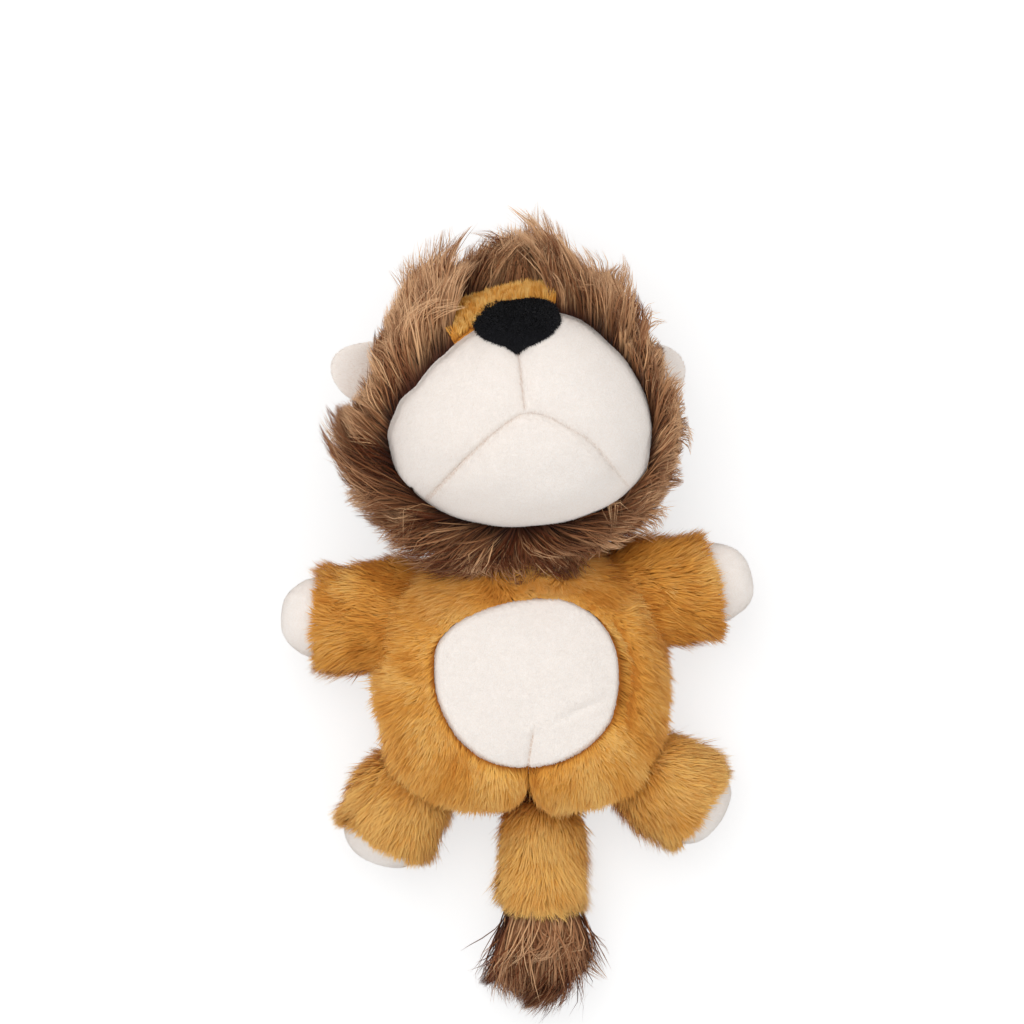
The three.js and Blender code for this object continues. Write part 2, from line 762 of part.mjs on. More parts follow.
/** Where a limb is sewn on: a place on the torso's surface, and the direction that leaves it squarely. */
function limbSeat(limb) {
  const { height } = limbKinds[limb.kind];
  const turn = limb.seatAngle * degree;
  const power = torsoSquareness;
  const halfLength = Math.sin(turn) < 0 ? torsoReachToTail : torsoReachToNeck;
  const heightShare = Math.abs((height - torsoMiddle) / torsoHalfThickness) ** power;
  const acrossShare = Math.abs(Math.cos(turn) / torsoHalfWidth) ** power;
  const alongShare = Math.abs(Math.sin(turn) / halfLength) ** power;
  const reach = ((1 - heightShare) / (acrossShare + alongShare)) ** (1 / power);
  const x = reach * Math.cos(turn);
  const y = reach * Math.sin(turn);
  const outX = Math.sign(x) * (Math.abs(x / torsoHalfWidth) ** (power - 1) / torsoHalfWidth);
  const outY = Math.sign(y) * (Math.abs(y / halfLength) ** (power - 1) / halfLength);
  const square = Math.atan2(outY, outX);
  return {
    place: new THREE.Vector3(
      x + hingeGap * Math.cos(square),
      y + hingeGap * Math.sin(square),
      height,
    ),
    square,
  };
}

/** The form at the end of a limb, grown or shrunk: a paw, a sole, or a tuft that runs to a point. */
function limbTip(kind, grow) {
  if (kind.tip === 'tuft') {
    const brush = swelling(
      tuftAlongShares,
      tuftGirthShares,
      kind.tipReach + tuftInside,
      kind.tipHalfWidth,
      kind.tipHalfHeight,
    ).map(({ along, halfWidth, halfHeight }) => ({
      along: along + kind.sleeveLength - tuftInside,
      halfWidth: halfWidth + grow,
      halfHeight: halfHeight + grow,
    }));
    return solidOf(stuffedTube(brush, limbSides));
  }
  const form = {
    left: tipInside,
    right: tipInside + kind.tipReach,
    down: kind.tipHalfWidth,
    up: kind.tipHalfWidth,
    low: kind.tipHalfHeight,
    high: kind.tipHalfHeight,
    squareness: tipSquareness,
  };
  const ball = stuffedBall(form, grow, limbSides, tipRings, 'x');
  return solidOf(ball.translate(kind.sleeveLength - tipInside, 0, 0));
}

/** The stuffing that fills a limb from its root to its tip. */
function limbCore(kind, grow) {
  const depth = goldenPile - grow;
  const isTuft = kind.tip === 'tuft';
  const endHalfWidth = isTuft ? kind.halfWidth - goldenPile : kind.tipHalfWidth - velboaThickness;
  const endHalfHeight = isTuft ? kind.halfHeight - goldenPile : kind.tipHalfHeight - velboaThickness;
  const endReach = isTuft ? tuftInside + goldenPile : kind.tipReach + tipInside;
  const stations = swelling(
    kind.alongShares,
    kind.girthShares,
    kind.sleeveLength - tipInside,
    kind.halfWidth,
    kind.halfHeight,
  ).map(({ along, halfWidth, halfHeight }) => ({
    along,
    halfWidth: halfWidth - depth,
    halfHeight: halfHeight - depth,
  }));
  const sleeveCore = solidOf(stuffedTube(stations, limbFillSides));
  const end = stuffedBall(
    {
      left: 2 * tipInside,
      right: endReach - velboaThickness,
      down: endHalfWidth,
      up: endHalfWidth,
      low: endHalfHeight,
      high: endHalfHeight,
      squareness: tipSquareness,
    },
    grow,
    limbFillSides,
    tipRings,
    'x',
  );
  return sleeveCore.add(solidOf(end.translate(kind.sleeveLength - tipInside, 0, 0)));
}

function limbPieces(limb, seat) {
  const kind = limbKinds[limb.kind];
  const skew = limb.heading - seat.square / degree;
  const reach = kind.sleeveLength + kind.tipReach + tipInside;
  const rootWedge = wedge(0, reach, kind.up, kind.down, farAway);
  const turned = (solid) => solid.rotate([0, 0, skew]);
  const coreWedge = (back) => wedge(rootCloth - back, reach, kind.up, kind.down, farAway);
  const core = turned(limbCore(kind, 0)).intersect(coreWedge(0));
  const coreSpace = turned(limbCore(kind, seamGap)).intersect(coreWedge(2 * seamGap));
  const outer = solidOf(
    stuffedTube(
      swelling(
        kind.alongShares,
        kind.girthShares,
        kind.sleeveLength,
        kind.halfWidth,
        kind.halfHeight,
      ),
      limbSides,
    ),
  );
  const sleeve = turned(outer)
    .intersect(rootWedge)
    .subtract(turned(limbTip(kind, seamGap)))
    .subtract(coreSpace);
  const tip = turned(limbTip(kind, 0)).subtract(coreSpace);
  const tipFinish = kind.tip === 'tuft' ? maneFur : whiteVelboa;
  return [
    pieceOf(`${limb.name}_sleeve`, sleeve, goldenFur),
    pieceOf(`${limb.name}_${kind.tip}`, tip, tipFinish),
    pieceOf(`${limb.name}_stuffing`, core, fibreFill),
  ];
}

const lion = new THREE.Group();

const torso = new THREE.Group();
torso.add(...torsoPieces());
lion.add(torso);

lion.add(pieceOf('neck_stuffing', neckBall(0), fibreFill));

const head = new THREE.Group();
head.position.set(headAcross, headAlong, headHeight);
head.add(...headPieces());
for (const ear of ears) {
  const seat = earSeat(ear);
  const flap = new THREE.Group();
  flap.position.copy(seat.place);
  flap.rotation.order = 'ZYX';
  flap.rotation.y = ear.tilt * degree;
  flap.rotation.z = seat.square;
  flap.add(...earPieces(ear));
  head.add(flap);
}
lion.add(head);

for (const limb of limbs) {
  const seat = limbSeat(limb);
  const group = new THREE.Group();
  group.position.copy(seat.place);
  group.rotation.z = seat.square;
  group.add(...limbPieces(limb, seat));
  lion.add(group);
}

export default lion;
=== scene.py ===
"""Looks of a plush lion that lies on its back, belly up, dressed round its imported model.

The frame and every finished object are in metres: +Z points up out of the belly, +Y to the
head and +X to the viewer's right. The classes work in millimetres in that same frame, and
each mesh is scaled once, when it is made. A piece is a cloth, shaped and cut with bmesh
operators, and the pile that grows on it strand by strand, because the pile is what gives a
plush toy its outline.
"""

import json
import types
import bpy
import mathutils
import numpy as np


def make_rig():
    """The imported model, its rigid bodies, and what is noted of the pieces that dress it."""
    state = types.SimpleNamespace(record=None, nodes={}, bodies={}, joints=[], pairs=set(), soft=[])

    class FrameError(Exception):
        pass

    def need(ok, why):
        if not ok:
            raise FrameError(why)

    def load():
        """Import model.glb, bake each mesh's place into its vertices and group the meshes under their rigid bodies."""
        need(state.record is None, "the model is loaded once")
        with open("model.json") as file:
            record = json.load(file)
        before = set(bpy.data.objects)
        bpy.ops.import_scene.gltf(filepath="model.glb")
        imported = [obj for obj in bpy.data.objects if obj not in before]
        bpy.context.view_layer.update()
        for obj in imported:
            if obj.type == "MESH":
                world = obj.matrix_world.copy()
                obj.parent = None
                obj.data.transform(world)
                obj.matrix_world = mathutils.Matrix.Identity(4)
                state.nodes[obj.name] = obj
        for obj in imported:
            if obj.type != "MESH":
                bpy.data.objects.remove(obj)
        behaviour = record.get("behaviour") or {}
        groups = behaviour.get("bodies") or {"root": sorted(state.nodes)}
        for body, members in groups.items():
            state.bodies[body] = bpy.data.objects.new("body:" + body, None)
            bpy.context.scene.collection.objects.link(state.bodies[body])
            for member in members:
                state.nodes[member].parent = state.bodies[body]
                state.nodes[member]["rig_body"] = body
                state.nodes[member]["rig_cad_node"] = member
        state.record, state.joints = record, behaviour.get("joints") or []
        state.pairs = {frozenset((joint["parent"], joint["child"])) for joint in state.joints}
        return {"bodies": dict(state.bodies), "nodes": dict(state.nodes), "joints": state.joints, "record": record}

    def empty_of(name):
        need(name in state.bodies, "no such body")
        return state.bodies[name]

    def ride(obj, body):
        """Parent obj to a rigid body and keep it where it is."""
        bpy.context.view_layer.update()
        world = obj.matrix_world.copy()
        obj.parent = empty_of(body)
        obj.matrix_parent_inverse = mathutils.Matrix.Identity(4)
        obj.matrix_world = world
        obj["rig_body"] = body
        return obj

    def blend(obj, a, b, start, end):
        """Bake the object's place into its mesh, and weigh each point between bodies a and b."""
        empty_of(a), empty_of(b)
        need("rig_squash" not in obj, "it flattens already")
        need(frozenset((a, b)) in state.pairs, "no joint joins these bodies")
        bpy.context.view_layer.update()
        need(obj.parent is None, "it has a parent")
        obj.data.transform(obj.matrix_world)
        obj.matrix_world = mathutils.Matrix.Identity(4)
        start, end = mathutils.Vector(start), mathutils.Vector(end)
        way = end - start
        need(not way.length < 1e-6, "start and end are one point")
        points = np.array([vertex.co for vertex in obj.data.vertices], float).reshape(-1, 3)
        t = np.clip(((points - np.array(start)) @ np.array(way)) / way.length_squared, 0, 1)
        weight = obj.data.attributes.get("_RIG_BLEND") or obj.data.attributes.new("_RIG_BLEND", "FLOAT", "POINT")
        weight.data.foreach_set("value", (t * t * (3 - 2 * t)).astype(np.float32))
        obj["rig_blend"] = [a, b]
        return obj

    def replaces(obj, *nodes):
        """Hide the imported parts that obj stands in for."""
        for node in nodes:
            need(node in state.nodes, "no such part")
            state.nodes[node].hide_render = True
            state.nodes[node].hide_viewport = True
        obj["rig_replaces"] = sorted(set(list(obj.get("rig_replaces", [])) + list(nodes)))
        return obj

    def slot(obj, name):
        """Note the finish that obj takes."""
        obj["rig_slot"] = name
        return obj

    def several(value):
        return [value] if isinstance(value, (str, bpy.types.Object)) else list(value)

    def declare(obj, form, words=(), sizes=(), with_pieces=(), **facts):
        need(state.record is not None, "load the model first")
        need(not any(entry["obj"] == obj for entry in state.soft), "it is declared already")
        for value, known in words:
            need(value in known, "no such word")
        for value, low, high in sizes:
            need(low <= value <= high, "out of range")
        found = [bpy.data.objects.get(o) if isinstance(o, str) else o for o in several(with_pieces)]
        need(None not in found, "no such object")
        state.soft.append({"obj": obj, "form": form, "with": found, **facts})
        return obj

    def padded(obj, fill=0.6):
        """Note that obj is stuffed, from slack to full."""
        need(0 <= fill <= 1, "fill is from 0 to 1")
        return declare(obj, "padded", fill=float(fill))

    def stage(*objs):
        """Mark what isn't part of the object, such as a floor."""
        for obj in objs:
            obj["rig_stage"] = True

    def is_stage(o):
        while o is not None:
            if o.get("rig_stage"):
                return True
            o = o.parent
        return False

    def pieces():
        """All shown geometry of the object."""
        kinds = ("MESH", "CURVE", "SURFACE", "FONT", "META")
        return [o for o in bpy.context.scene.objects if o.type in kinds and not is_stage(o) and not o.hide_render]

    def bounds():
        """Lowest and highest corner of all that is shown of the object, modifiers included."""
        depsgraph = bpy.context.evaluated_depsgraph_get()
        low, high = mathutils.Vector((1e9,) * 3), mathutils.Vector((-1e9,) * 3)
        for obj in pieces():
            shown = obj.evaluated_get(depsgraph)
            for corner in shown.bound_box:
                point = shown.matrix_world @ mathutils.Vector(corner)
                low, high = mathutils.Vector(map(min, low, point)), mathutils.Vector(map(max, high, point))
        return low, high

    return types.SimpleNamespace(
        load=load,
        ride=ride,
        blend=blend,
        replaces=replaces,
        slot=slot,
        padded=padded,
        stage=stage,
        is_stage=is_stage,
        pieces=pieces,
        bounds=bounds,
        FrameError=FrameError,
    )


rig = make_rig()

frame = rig.load()
cad_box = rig.bounds()

import json
import logging
import math
from dataclasses import dataclass, field, fields
from enum import Enum
from typing import Callable, Optional

import bmesh
import bpy
import numpy as np
from mathutils import Vector, kdtree

Array = np.ndarray
Colour = tuple[float, float, float, float]
Shade = tuple[int, int, int]  # a screen colour, 0 to 255
Level = Callable[[Array], Array]
Trim = Callable[[Array, Array], Array]

MM = 0.001
# Root is painted shade: the colour that a pile darkens to deep among its strands
SHADES = ("Root", "Dark", "Middle", "Light", "Tip")
STRAND_MAP = "Strand"
BAKE_MAP = "OFBake"
SIZE_FILE = "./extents.json"
BACKING = 1.5  # wall of a fur's cloth, in millimetres
LOOSE_FIBRES = 1500  # on each ball of stuffing
UPWARD = np.array([0, 0, 1.0])
LOG = logging.getLogger("plush_lion")


def linear(shade: Shade) -> Colour:
    """A screen colour as a shader takes it, with an alpha of 1."""
    shares = [value / 255 for value in shade]
    return (*(v / 12.92 if v <= 0.04045 else ((v + 0.055) / 1.055) ** 2.4 for v in shares), 1.0)


def unit(vectors: Array) -> Array:
    """Vectors along the last axis, each brought to a length of 1."""
    return vectors / np.maximum(np.linalg.norm(vectors, axis=-1, keepdims=True), 1e-9)


def smooth(values: Array, start: float, end: float) -> Array:
    """A soft step from 0 at start to 1 at end."""
    share = np.clip((values - start) / (end - start), 0, 1)
    return share * share * (3 - 2 * share)


def hump(values: Array, width: float) -> Array:
    """A bell of height 1 round 0 that has faded out at about twice its width."""
    return np.exp(-((values / width) ** 2))


def plan_angle(points: Array, middle: tuple[float, float]) -> Array:
    """Bearings in degrees, from 0 to 360, of places in plan as seen from a middle."""
    return np.degrees(np.arctan2(points[:, 1] - middle[1], points[:, 0] - middle[0])) % 360


def off_bearing(bearings: Array, middle: float) -> Array:
    """Degrees from a middle bearing to others, from -180 to 180."""
    return (bearings - middle + 180) % 360 - 180


def even(value: float) -> Level:
    """A level that is the same everywhere."""
    return lambda points: np.full(len(points), value)


def steady(way: Array | tuple) -> Callable[[Array], Array]:
    """A flow that runs one way everywhere."""
    return lambda points: np.tile(way, (len(points), 1))


def placed(name: str, data: bpy.types.ID) -> bpy.types.Object:
    """A new object of the scene for a mesh, a lamp or a camera."""
    made = bpy.data.objects.new(name, data)
    bpy.context.scene.collection.objects.link(made)
    return made


def heading(degrees: Array) -> Array:
    """Level unit vectors that point along bearings in degrees."""
    turn = np.radians(degrees)
    return np.stack([np.cos(turn), np.sin(turn), np.zeros_like(turn)], axis=1)


class Drift:
    """A smooth field that wanders between about -1 and 1 over a given distance."""

    def __init__(self, distance: float, seed: int, waves: int = 9) -> None:
        """Draws the waves that the field is made of.

        Args:
            distance: how far apart two hills of the field lie, in millimetres.
            seed: of the random draw.
            waves: how many waves are laid over each other.
        """
        draw = np.random.default_rng(seed)
        pace = draw.uniform(0.6, 1.7, (waves, 1)) * 2 * math.pi / distance
        self.waves = unit(draw.normal(size=(waves, 3))) * pace
        self.starts = draw.uniform(0, 2 * math.pi, waves)

    def at(self, points: Array) -> Array:
        """The field's value at each place."""
        total = np.sin(points @ self.waves.T + self.starts).sum(axis=1)
        return total / math.sqrt(len(self.starts))


@dataclass(frozen=True)
class StuffedForm:
    """A stuffed ball, drawn out from its middle by its own reach each way. Millimetres."""

    middle: tuple[float, float, float]
    left: float
    right: float
    down: float
    up: float
    low: float
    high: float
    squareness: float = 2.2
    taper: float = 0.0
    corners: float = 0.0  # how much squarer the form is at its lower end

    def place(self, directions: Array, grow: float = 0.0) -> Array:
        """Places on the form.

        Args:
            directions: unit vectors from the middle.
            grow: how far the whole surface is moved outwards.

        Returns:
            One place for each direction.
        """
        power = self.squareness + self.corners * smooth(-directions[:, 1], 0.1, 0.7)
        size = (np.abs(directions) ** power[:, None]).sum(axis=1) ** (1 / power)
        share = directions / size[:, None]
        places = share * self.reaches(share, grow)
        places[:, 0] *= 1 - self.taper * np.maximum(0, share[:, 1]) ** 2
        return places + self.middle

    @classmethod
    def lengthwise(
        cls, middle: float, back: float, out: float, wide: float, high: float, square: float = 2.2
    ) -> "StuffedForm":
        """A form along X that is the same to both sides, and above as below."""
        return cls((middle, 0, 0), back, out, wide, wide, high, high, square)

    def reaches(self, offset: Array, grow: float) -> Array:
        """The form's reach on the side of its middle where each offset lies."""
        lows = np.array([self.left, self.down, self.low]) + grow
        highs = np.array([self.right, self.up, self.high]) + grow
        return np.where(offset < 0, lows, highs)

    def holds(self, points: Array, grow: float = 0.0) -> Array:
        """Which places lie inside the form, or inside it when it is grown."""
        offset = points - self.middle
        share = np.abs(offset / self.reaches(offset, grow))
        return (share**self.squareness).sum(axis=1) < 1

    def rise(self, across: Array, along: Array, grow: float = 0.0) -> Array:
        """Heights of the upper surface over places in plan, at least the middle's height."""
        offset = along - self.middle[1]
        share = np.abs(offset) / (np.where(offset < 0, self.down, self.up) + grow)
        wide = across - self.middle[0]
        reach = np.where(wide < 0, self.left, self.right) + grow
        narrow = 1 - self.taper * np.where(offset > 0, share, 0) ** 2
        rest = 1 - (np.abs(wide) / (reach * narrow)) ** self.squareness - share**self.squareness
        top = np.maximum(rest, 0) ** (1 / self.squareness) * (self.high + grow)
        return self.middle[2] + top


@dataclass(frozen=True)
class BarrelForm(StuffedForm):
    """A stuffed sleeve: round across, with straight sides along X. Millimetres."""

    def place(self, directions: Array, grow: float = 0.0) -> Array:
        """Places on the form, as StuffedForm.place gives them."""
        girth = np.hypot(directions[:, 1], directions[:, 2])
        along = np.abs(directions[:, 0])
        size = (along**self.squareness + girth**self.squareness) ** (1 / self.squareness)
        share = directions / size[:, None]
        return share * self.reaches(share, grow) + self.middle


@dataclass(frozen=True)
class Seat:
    """Where a limb or an ear is sewn on: a place, and the turn and tilt of its own frame."""

    place: tuple[float, float, float]
    turn: float
    tilt: float = 0.0

    def axes(self) -> Array:
        """The own frame's X, Y and Z directions as rows."""
        turn, tilt = math.radians(self.turn), math.radians(self.tilt)
        across = np.array([math.cos(turn), math.sin(turn), 0])
        along = np.array([-math.sin(turn), math.cos(turn), 0])
        outward = across * math.cos(tilt) - UPWARD * math.sin(tilt)
        return np.stack([outward, along, across * math.sin(tilt) + UPWARD * math.cos(tilt)])

    def carry(self, points: Array) -> Array:
        """Places of the own frame, in the shared frame."""
        return points @ self.axes() + self.place

    def back(self, points: Array) -> Array:
        """Places of the shared frame, in the own frame."""
        return (points - self.place) @ self.axes().T


def joint_seat(joint: str, turn: Optional[float] = None, tilt: float = 0.0) -> Seat:
    """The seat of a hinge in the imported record.

    Args:
        joint: the hinge's name.
        turn: bearing of the seat's X axis in degrees, or None to leave the cloth squarely.
        tilt: of the X axis below level, in degrees.

    Returns:
        The seat, in millimetres and degrees.
    """
    row = next(j for j in frame["joints"] if j["name"] == joint)
    square = math.degrees(math.atan2(row["axis"][0], -row["axis"][1]))
    place = tuple(value / MM for value in row["pos_m"])
    return Seat(place, square if turn is None else turn, tilt)


class Cloth:
    """The outer face of a cloth, shaped and cut before it gets its thickness."""

    on_line = 1e-6  # summed level up to which a face only touches the kept side
    turned_over = 0.5  # least cosine between a rim face and the cloth round it

    def __init__(self, shape: Callable[[Array], Array], fineness: int = 6) -> None:
        """Starts from a ball and brings it to a shape.

        Args:
            shape: gives a place in millimetres for each unit direction.
            fineness: how often the ball's faces are halved.
        """
        self.bm = bmesh.new()
        bmesh.ops.create_icosphere(self.bm, subdivisions=fineness, radius=1)
        self.move(shape)

    def points(self) -> Array:
        """The places of all corners."""
        return np.array([v.co for v in self.bm.verts], float).reshape(-1, 3)

    def move(self, change: Callable[[Array], Array]) -> "Cloth":
        """Moves every corner by a function of all places."""
        for vert, place in zip(self.bm.verts, change(self.points())):
            vert.co = place
        return self

    def normals(self) -> Array:
        """Outward directions at all corners."""
        self.bm.normal_update()
        return np.array([v.normal for v in self.bm.verts], float).reshape(-1, 3)

    def press(self, depth: Level) -> "Cloth":
        """Moves the cloth inwards by a depth that depends on the place."""
        places = self.points()
        moved = places - self.normals() * depth(places)[:, None]
        return self.move(lambda _: moved)

    def keep(self, level: Level) -> "Cloth":
        """Cuts the cloth along the line where a level is zero and keeps the negative side.

        Args:
            level: gives a number for each place, zero on the line.

        Returns:
            This cloth.
        """
        levels = level(self.points())
        self.bm.verts.index_update()
        for edge in self.bm.edges:
            first, last = edge.verts
            here, there = levels[first.index], levels[last.index]
            if here * there < 0:
                share = here / (here - there)
                mover = first if share < 0.5 else last
                mover.co = first.co.lerp(last.co, share)
                levels[mover.index] = 0
        faces = self.bm.faces
        beyond = [f for f in faces if sum(levels[v.index] for v in f.verts) > -self.on_line]
        bmesh.ops.delete(self.bm, geom=beyond, context="FACES")
        self.bm.normal_update()
        rim = [f for f in self.bm.faces if any(e.is_boundary for e in f.edges)]
        agree = lambda face: min(face.normal.dot(v.normal) for v in face.verts)
        over = [f for f in rim if agree(f) < self.turned_over]
        bmesh.ops.delete(self.bm, geom=over, context="FACES")
        return self

    def faces(self) -> Array:
        """Corner numbers of all faces, three to a row."""
        bmesh.ops.triangulate(self.bm, faces=self.bm.faces[:])
        self.bm.verts.index_update()
        return np.array([[v.index for v in f.verts] for f in self.bm.faces], int)

    def scatter(self, count: int, draw: np.random.Generator) -> tuple[Array, Array]:
        """Random places on the cloth, evenly by area.

        Args:
            count: how many places.
            draw: the source of random numbers.

        Returns:
            The places and the outward directions there.
        """
        faces, points, normals = self.faces(), self.points(), self.normals()
        a, b, c = (points[faces[:, k]] for k in range(3))
        total = np.cumsum(np.linalg.norm(np.cross(b - a, c - a), axis=1))
        chosen = np.searchsorted(total, draw.uniform(0, total[-1], count))
        first, second = draw.uniform(size=(2, count))
        over = first + second > 1
        first, second = np.where(over, 1 - first, first), np.where(over, 1 - second, second)
        shares = np.stack([1 - first - second, first, second], axis=1)[:, :, None]
        corners = faces[chosen]
        return (points[corners] * shares).sum(axis=1), unit((normals[corners] * shares).sum(axis=1))

    def thicken(self, wall: float) -> "Cloth":
        """Gives the cloth its wall, inwards from its outer face."""
        bmesh.ops.solidify(self.bm, geom=self.bm.faces[:], thickness=wall)
        bmesh.ops.recalc_face_normals(self.bm, faces=self.bm.faces[:])
        return self


@dataclass
class MeshPart:
    """Triangles with their place on the strand map. Millimetres."""

    points: Array
    faces: Array
    normals: Array
    corners: Array  # map place of each face's three corners


@dataclass
class Roots:
    """Where strands start, the ways they set out and end, their share of length and tone."""

    points: Array
    normals: Array
    aim: Array
    fall: Array
    reach: Array
    tone: Array

    def pick(self, chosen: Array) -> "Roots":
        """Only the chosen rows."""
        return Roots(*(getattr(self, f.name)[chosen] for f in fields(self)))


def combed(
    points: Array,
    normals: Array,
    flow: Array,
    lean: float | Array,
    droop: float,
    reach: Array,
    tone: Array,
) -> Roots:
    """Roots of a pile that leans along a flow.

    Args:
        points: places of the roots.
        normals: outward directions there.
        flow: the way the pile is brushed, which needn't lie along the cloth.
        lean: degrees from the outward direction at the root.
        droop: how many degrees further it leans at its tip.
        reach: share of the pile's length.
        tone: from 0, dark, to 1, light.

    Returns:
        The roots.
    """
    along = unit(flow - (flow * normals).sum(axis=1, keepdims=True) * normals)
    start = np.radians(np.broadcast_to(lean, len(points)))[:, None]
    end = start + math.radians(droop)
    aim = np.cos(start) * normals + np.sin(start) * along
    fall = np.cos(end) * normals + np.sin(end) * along
    return Roots(points, normals, aim, fall, reach, tone)


@dataclass(frozen=True)
class Pile:
    """How a pile's strands are shaped and gather in tufts and locks. Millimetres."""

    length: float
    width: float
    bends: int = 2
    unruly: float = 0.15  # spread of each strand's own direction
    length_spread: float = 0.15
    tuft_size: int = 14  # strands that share a tuft's point
    tuft_pull: float = 0.4
    lock_size: int = 0  # tufts that share a lock's point
    lock_pull: float = 0.5
    gather: float = 1.2  # above 1, strands stay side by side for longer before they gather
    lock_length_spread: float = 0.0
    lock_tone_spread: float = 0.0
    proud: float = 0.0  # how far locks stand beyond the outline that they are trimmed to
    proud_spread: float = 0.0
    curl: float = 0.0  # spread of a tuft's bend to one side
    tone_spread: float = 0.1
    tuft_tone_spread: float = 0.08
    roll: float = 40.0  # degrees that a strand is turned round its own line
    full_until: float = 0.35  # share of the length from which a strand thins out
    softness: float = 0.5  # how far the shading follows the cloth and not each strand
    floor: float = 0.4  # least height of a strand's joints
    ground: float = 0.05  # least height of its edges

    def paths(self, roots: Roots, draw: np.random.Generator) -> Array:
        """The bent lines of strands, before they gather.

        Args:
            roots: where the strands start.
            draw: the source of random numbers.

        Returns:
            For each strand the places of its joints, root first.
        """
        count = len(roots.points)
        stray = draw.normal(0, self.unruly, (count, 3))
        bend = draw.normal(0, 1, (count, 3)).clip(-1.8, 1.8) * self.curl if self.curl else 0
        spread = np.clip(1 + draw.normal(0, self.length_spread, count), 0.35, 1.9)
        step = (self.length * roots.reach * spread / self.bends)[:, None]
        path = np.empty((count, self.bends + 1, 3))
        path[:, 0] = roots.points
        for joint in range(self.bends):
            share = (joint + 0.5) / self.bends
            way = (roots.aim + stray) * (1 - share) + (roots.fall + stray + bend) * share
            path[:, joint + 1] = path[:, joint] + unit(way) * step
        return path

    @staticmethod
    def nearest(points: Array, leaders: Array) -> Array:
        """For each place, the number of the nearest leader."""
        tree = kdtree.KDTree(len(leaders))
        for number, place in enumerate(leaders):
            tree.insert(place, number)
        tree.balance()
        return np.array([tree.find(place)[1] for place in points], int)

    def gathered(
        self, roots: Roots, draw: np.random.Generator, trim: Optional[Trim]
    ) -> tuple[Array, Array]:
        """The lines of strands, drawn together in tufts and locks.

        Args:
            roots: where the strands start.
            draw: the source of random numbers.
            trim: shortens strands to an outline and a distance that each may stand beyond it.

        Returns:
            The places of the joints, and a tone for each strand.
        """
        path = self.paths(roots, draw)
        count = len(path)
        tone = roots.tone + draw.normal(0, self.tone_spread, count)
        if self.tuft_size < 2:
            return path, tone
        leaders = draw.permutation(count)[: max(1, count // self.tuft_size)]
        owner = self.nearest(roots.points, roots.points[leaders])
        chief = np.arange(len(leaders))
        chiefs = chief
        if self.lock_size:
            chiefs = draw.permutation(len(leaders))[: max(1, len(leaders) // self.lock_size)]
            heads = roots.points[leaders]
            chief = self.nearest(heads, heads[chiefs])
        size = 1 + draw.normal(0, self.lock_length_spread, len(chiefs))[chief][owner]
        path = path[:, :1] + (path - path[:, :1]) * np.clip(size, 0.5, 1.6)[:, None, None]
        if trim:
            proud = self.proud + draw.normal(0, self.proud_spread, len(chiefs))[chief][owner]
            path = trim(path, proud)
        lead = path[leaders]
        share = np.linspace(0, 1, self.bends + 1)[None, :, None] ** self.gather
        if self.lock_size:
            lead = lead + (lead[chiefs][chief] - lead) * self.lock_pull * share
        own_pull = np.clip(self.tuft_pull * draw.uniform(0.4, 1.25, (count, 1, 1)), 0, 0.97)
        path = path + (lead[owner] - path) * own_pull * share
        tone += draw.normal(0, self.tuft_tone_spread, len(leaders))[owner]
        tone += draw.normal(0, self.lock_tone_spread, len(chiefs))[chief][owner]
        return path, tone

    def grow(
        self, roots: Roots, draw: np.random.Generator, trim: Optional[Trim] = None
    ) -> MeshPart:
        """Grows one thin tapering blade on each root.

        Args:
            roots: where the strands start.
            draw: the source of random numbers.
            trim: shortens strands to an outline, as gathered takes it.

        Returns:
            The blades.
        """
        path, tone = self.gathered(roots, draw, trim)
        path[..., 2] = np.maximum(path[..., 2], self.floor)
        count, joints = path.shape[:2]
        way = np.gradient(path, axis=1)
        turn = np.radians(draw.normal(0, self.roll, count))[:, None, None]
        upward = np.broadcast_to(roots.normals[:, None, :], path.shape)
        across = unit(np.cross(way, upward))
        side = across * np.cos(turn) + unit(np.cross(way, across)) * np.sin(turn)
        share = np.linspace(0, 1, joints)
        thin = 1 - smooth(share, self.full_until, 1.25)
        half = self.width / 2 * thin[None, :, None] * draw.uniform(0.75, 1.25, (count, 1, 1))
        left, right = path - side * half, path + side * half
        rows = np.stack([left[:, :-1], right[:, :-1]], axis=2).reshape(count, -1, 3)
        points = np.concatenate([rows, path[:, -1:]], axis=1)
        points[..., 2] = np.maximum(points[..., 2], self.ground)
        per = 2 * joints - 1
        pattern = []
        for low in range(0, per - 3, 2):
            pattern += [(low, low + 1, low + 3), (low, low + 3, low + 2)]
        pattern.append((per - 3, per - 2, per - 1))
        faces = (np.array(pattern) + per * np.arange(count)[:, None, None]).reshape(-1, 3)
        along = np.append(np.repeat(share[:-1], 2), 1.0)
        edge = np.append(np.tile([-0.004, 0.004], joints - 1), 0.0)
        tone = np.clip(tone, 0.01, 0.99)
        maps = np.empty((count, per, 2))
        maps[..., 0] = np.clip(tone[:, None] + edge, 0, 1)
        maps[..., 1] = np.clip(along, 0.001, 0.999)
        facing = unit(np.cross(side, way))
        soft = unit((1 - self.softness) * facing + self.softness * upward)
        normals = np.concatenate([np.repeat(soft[:, :-1], 2, axis=1), soft[:, -1:]], axis=1)
        flat = (array.reshape(-1, array.shape[-1]) for array in (points, normals, maps))
        points, normals, maps = flat
        return MeshPart(points, faces, normals, maps[faces])


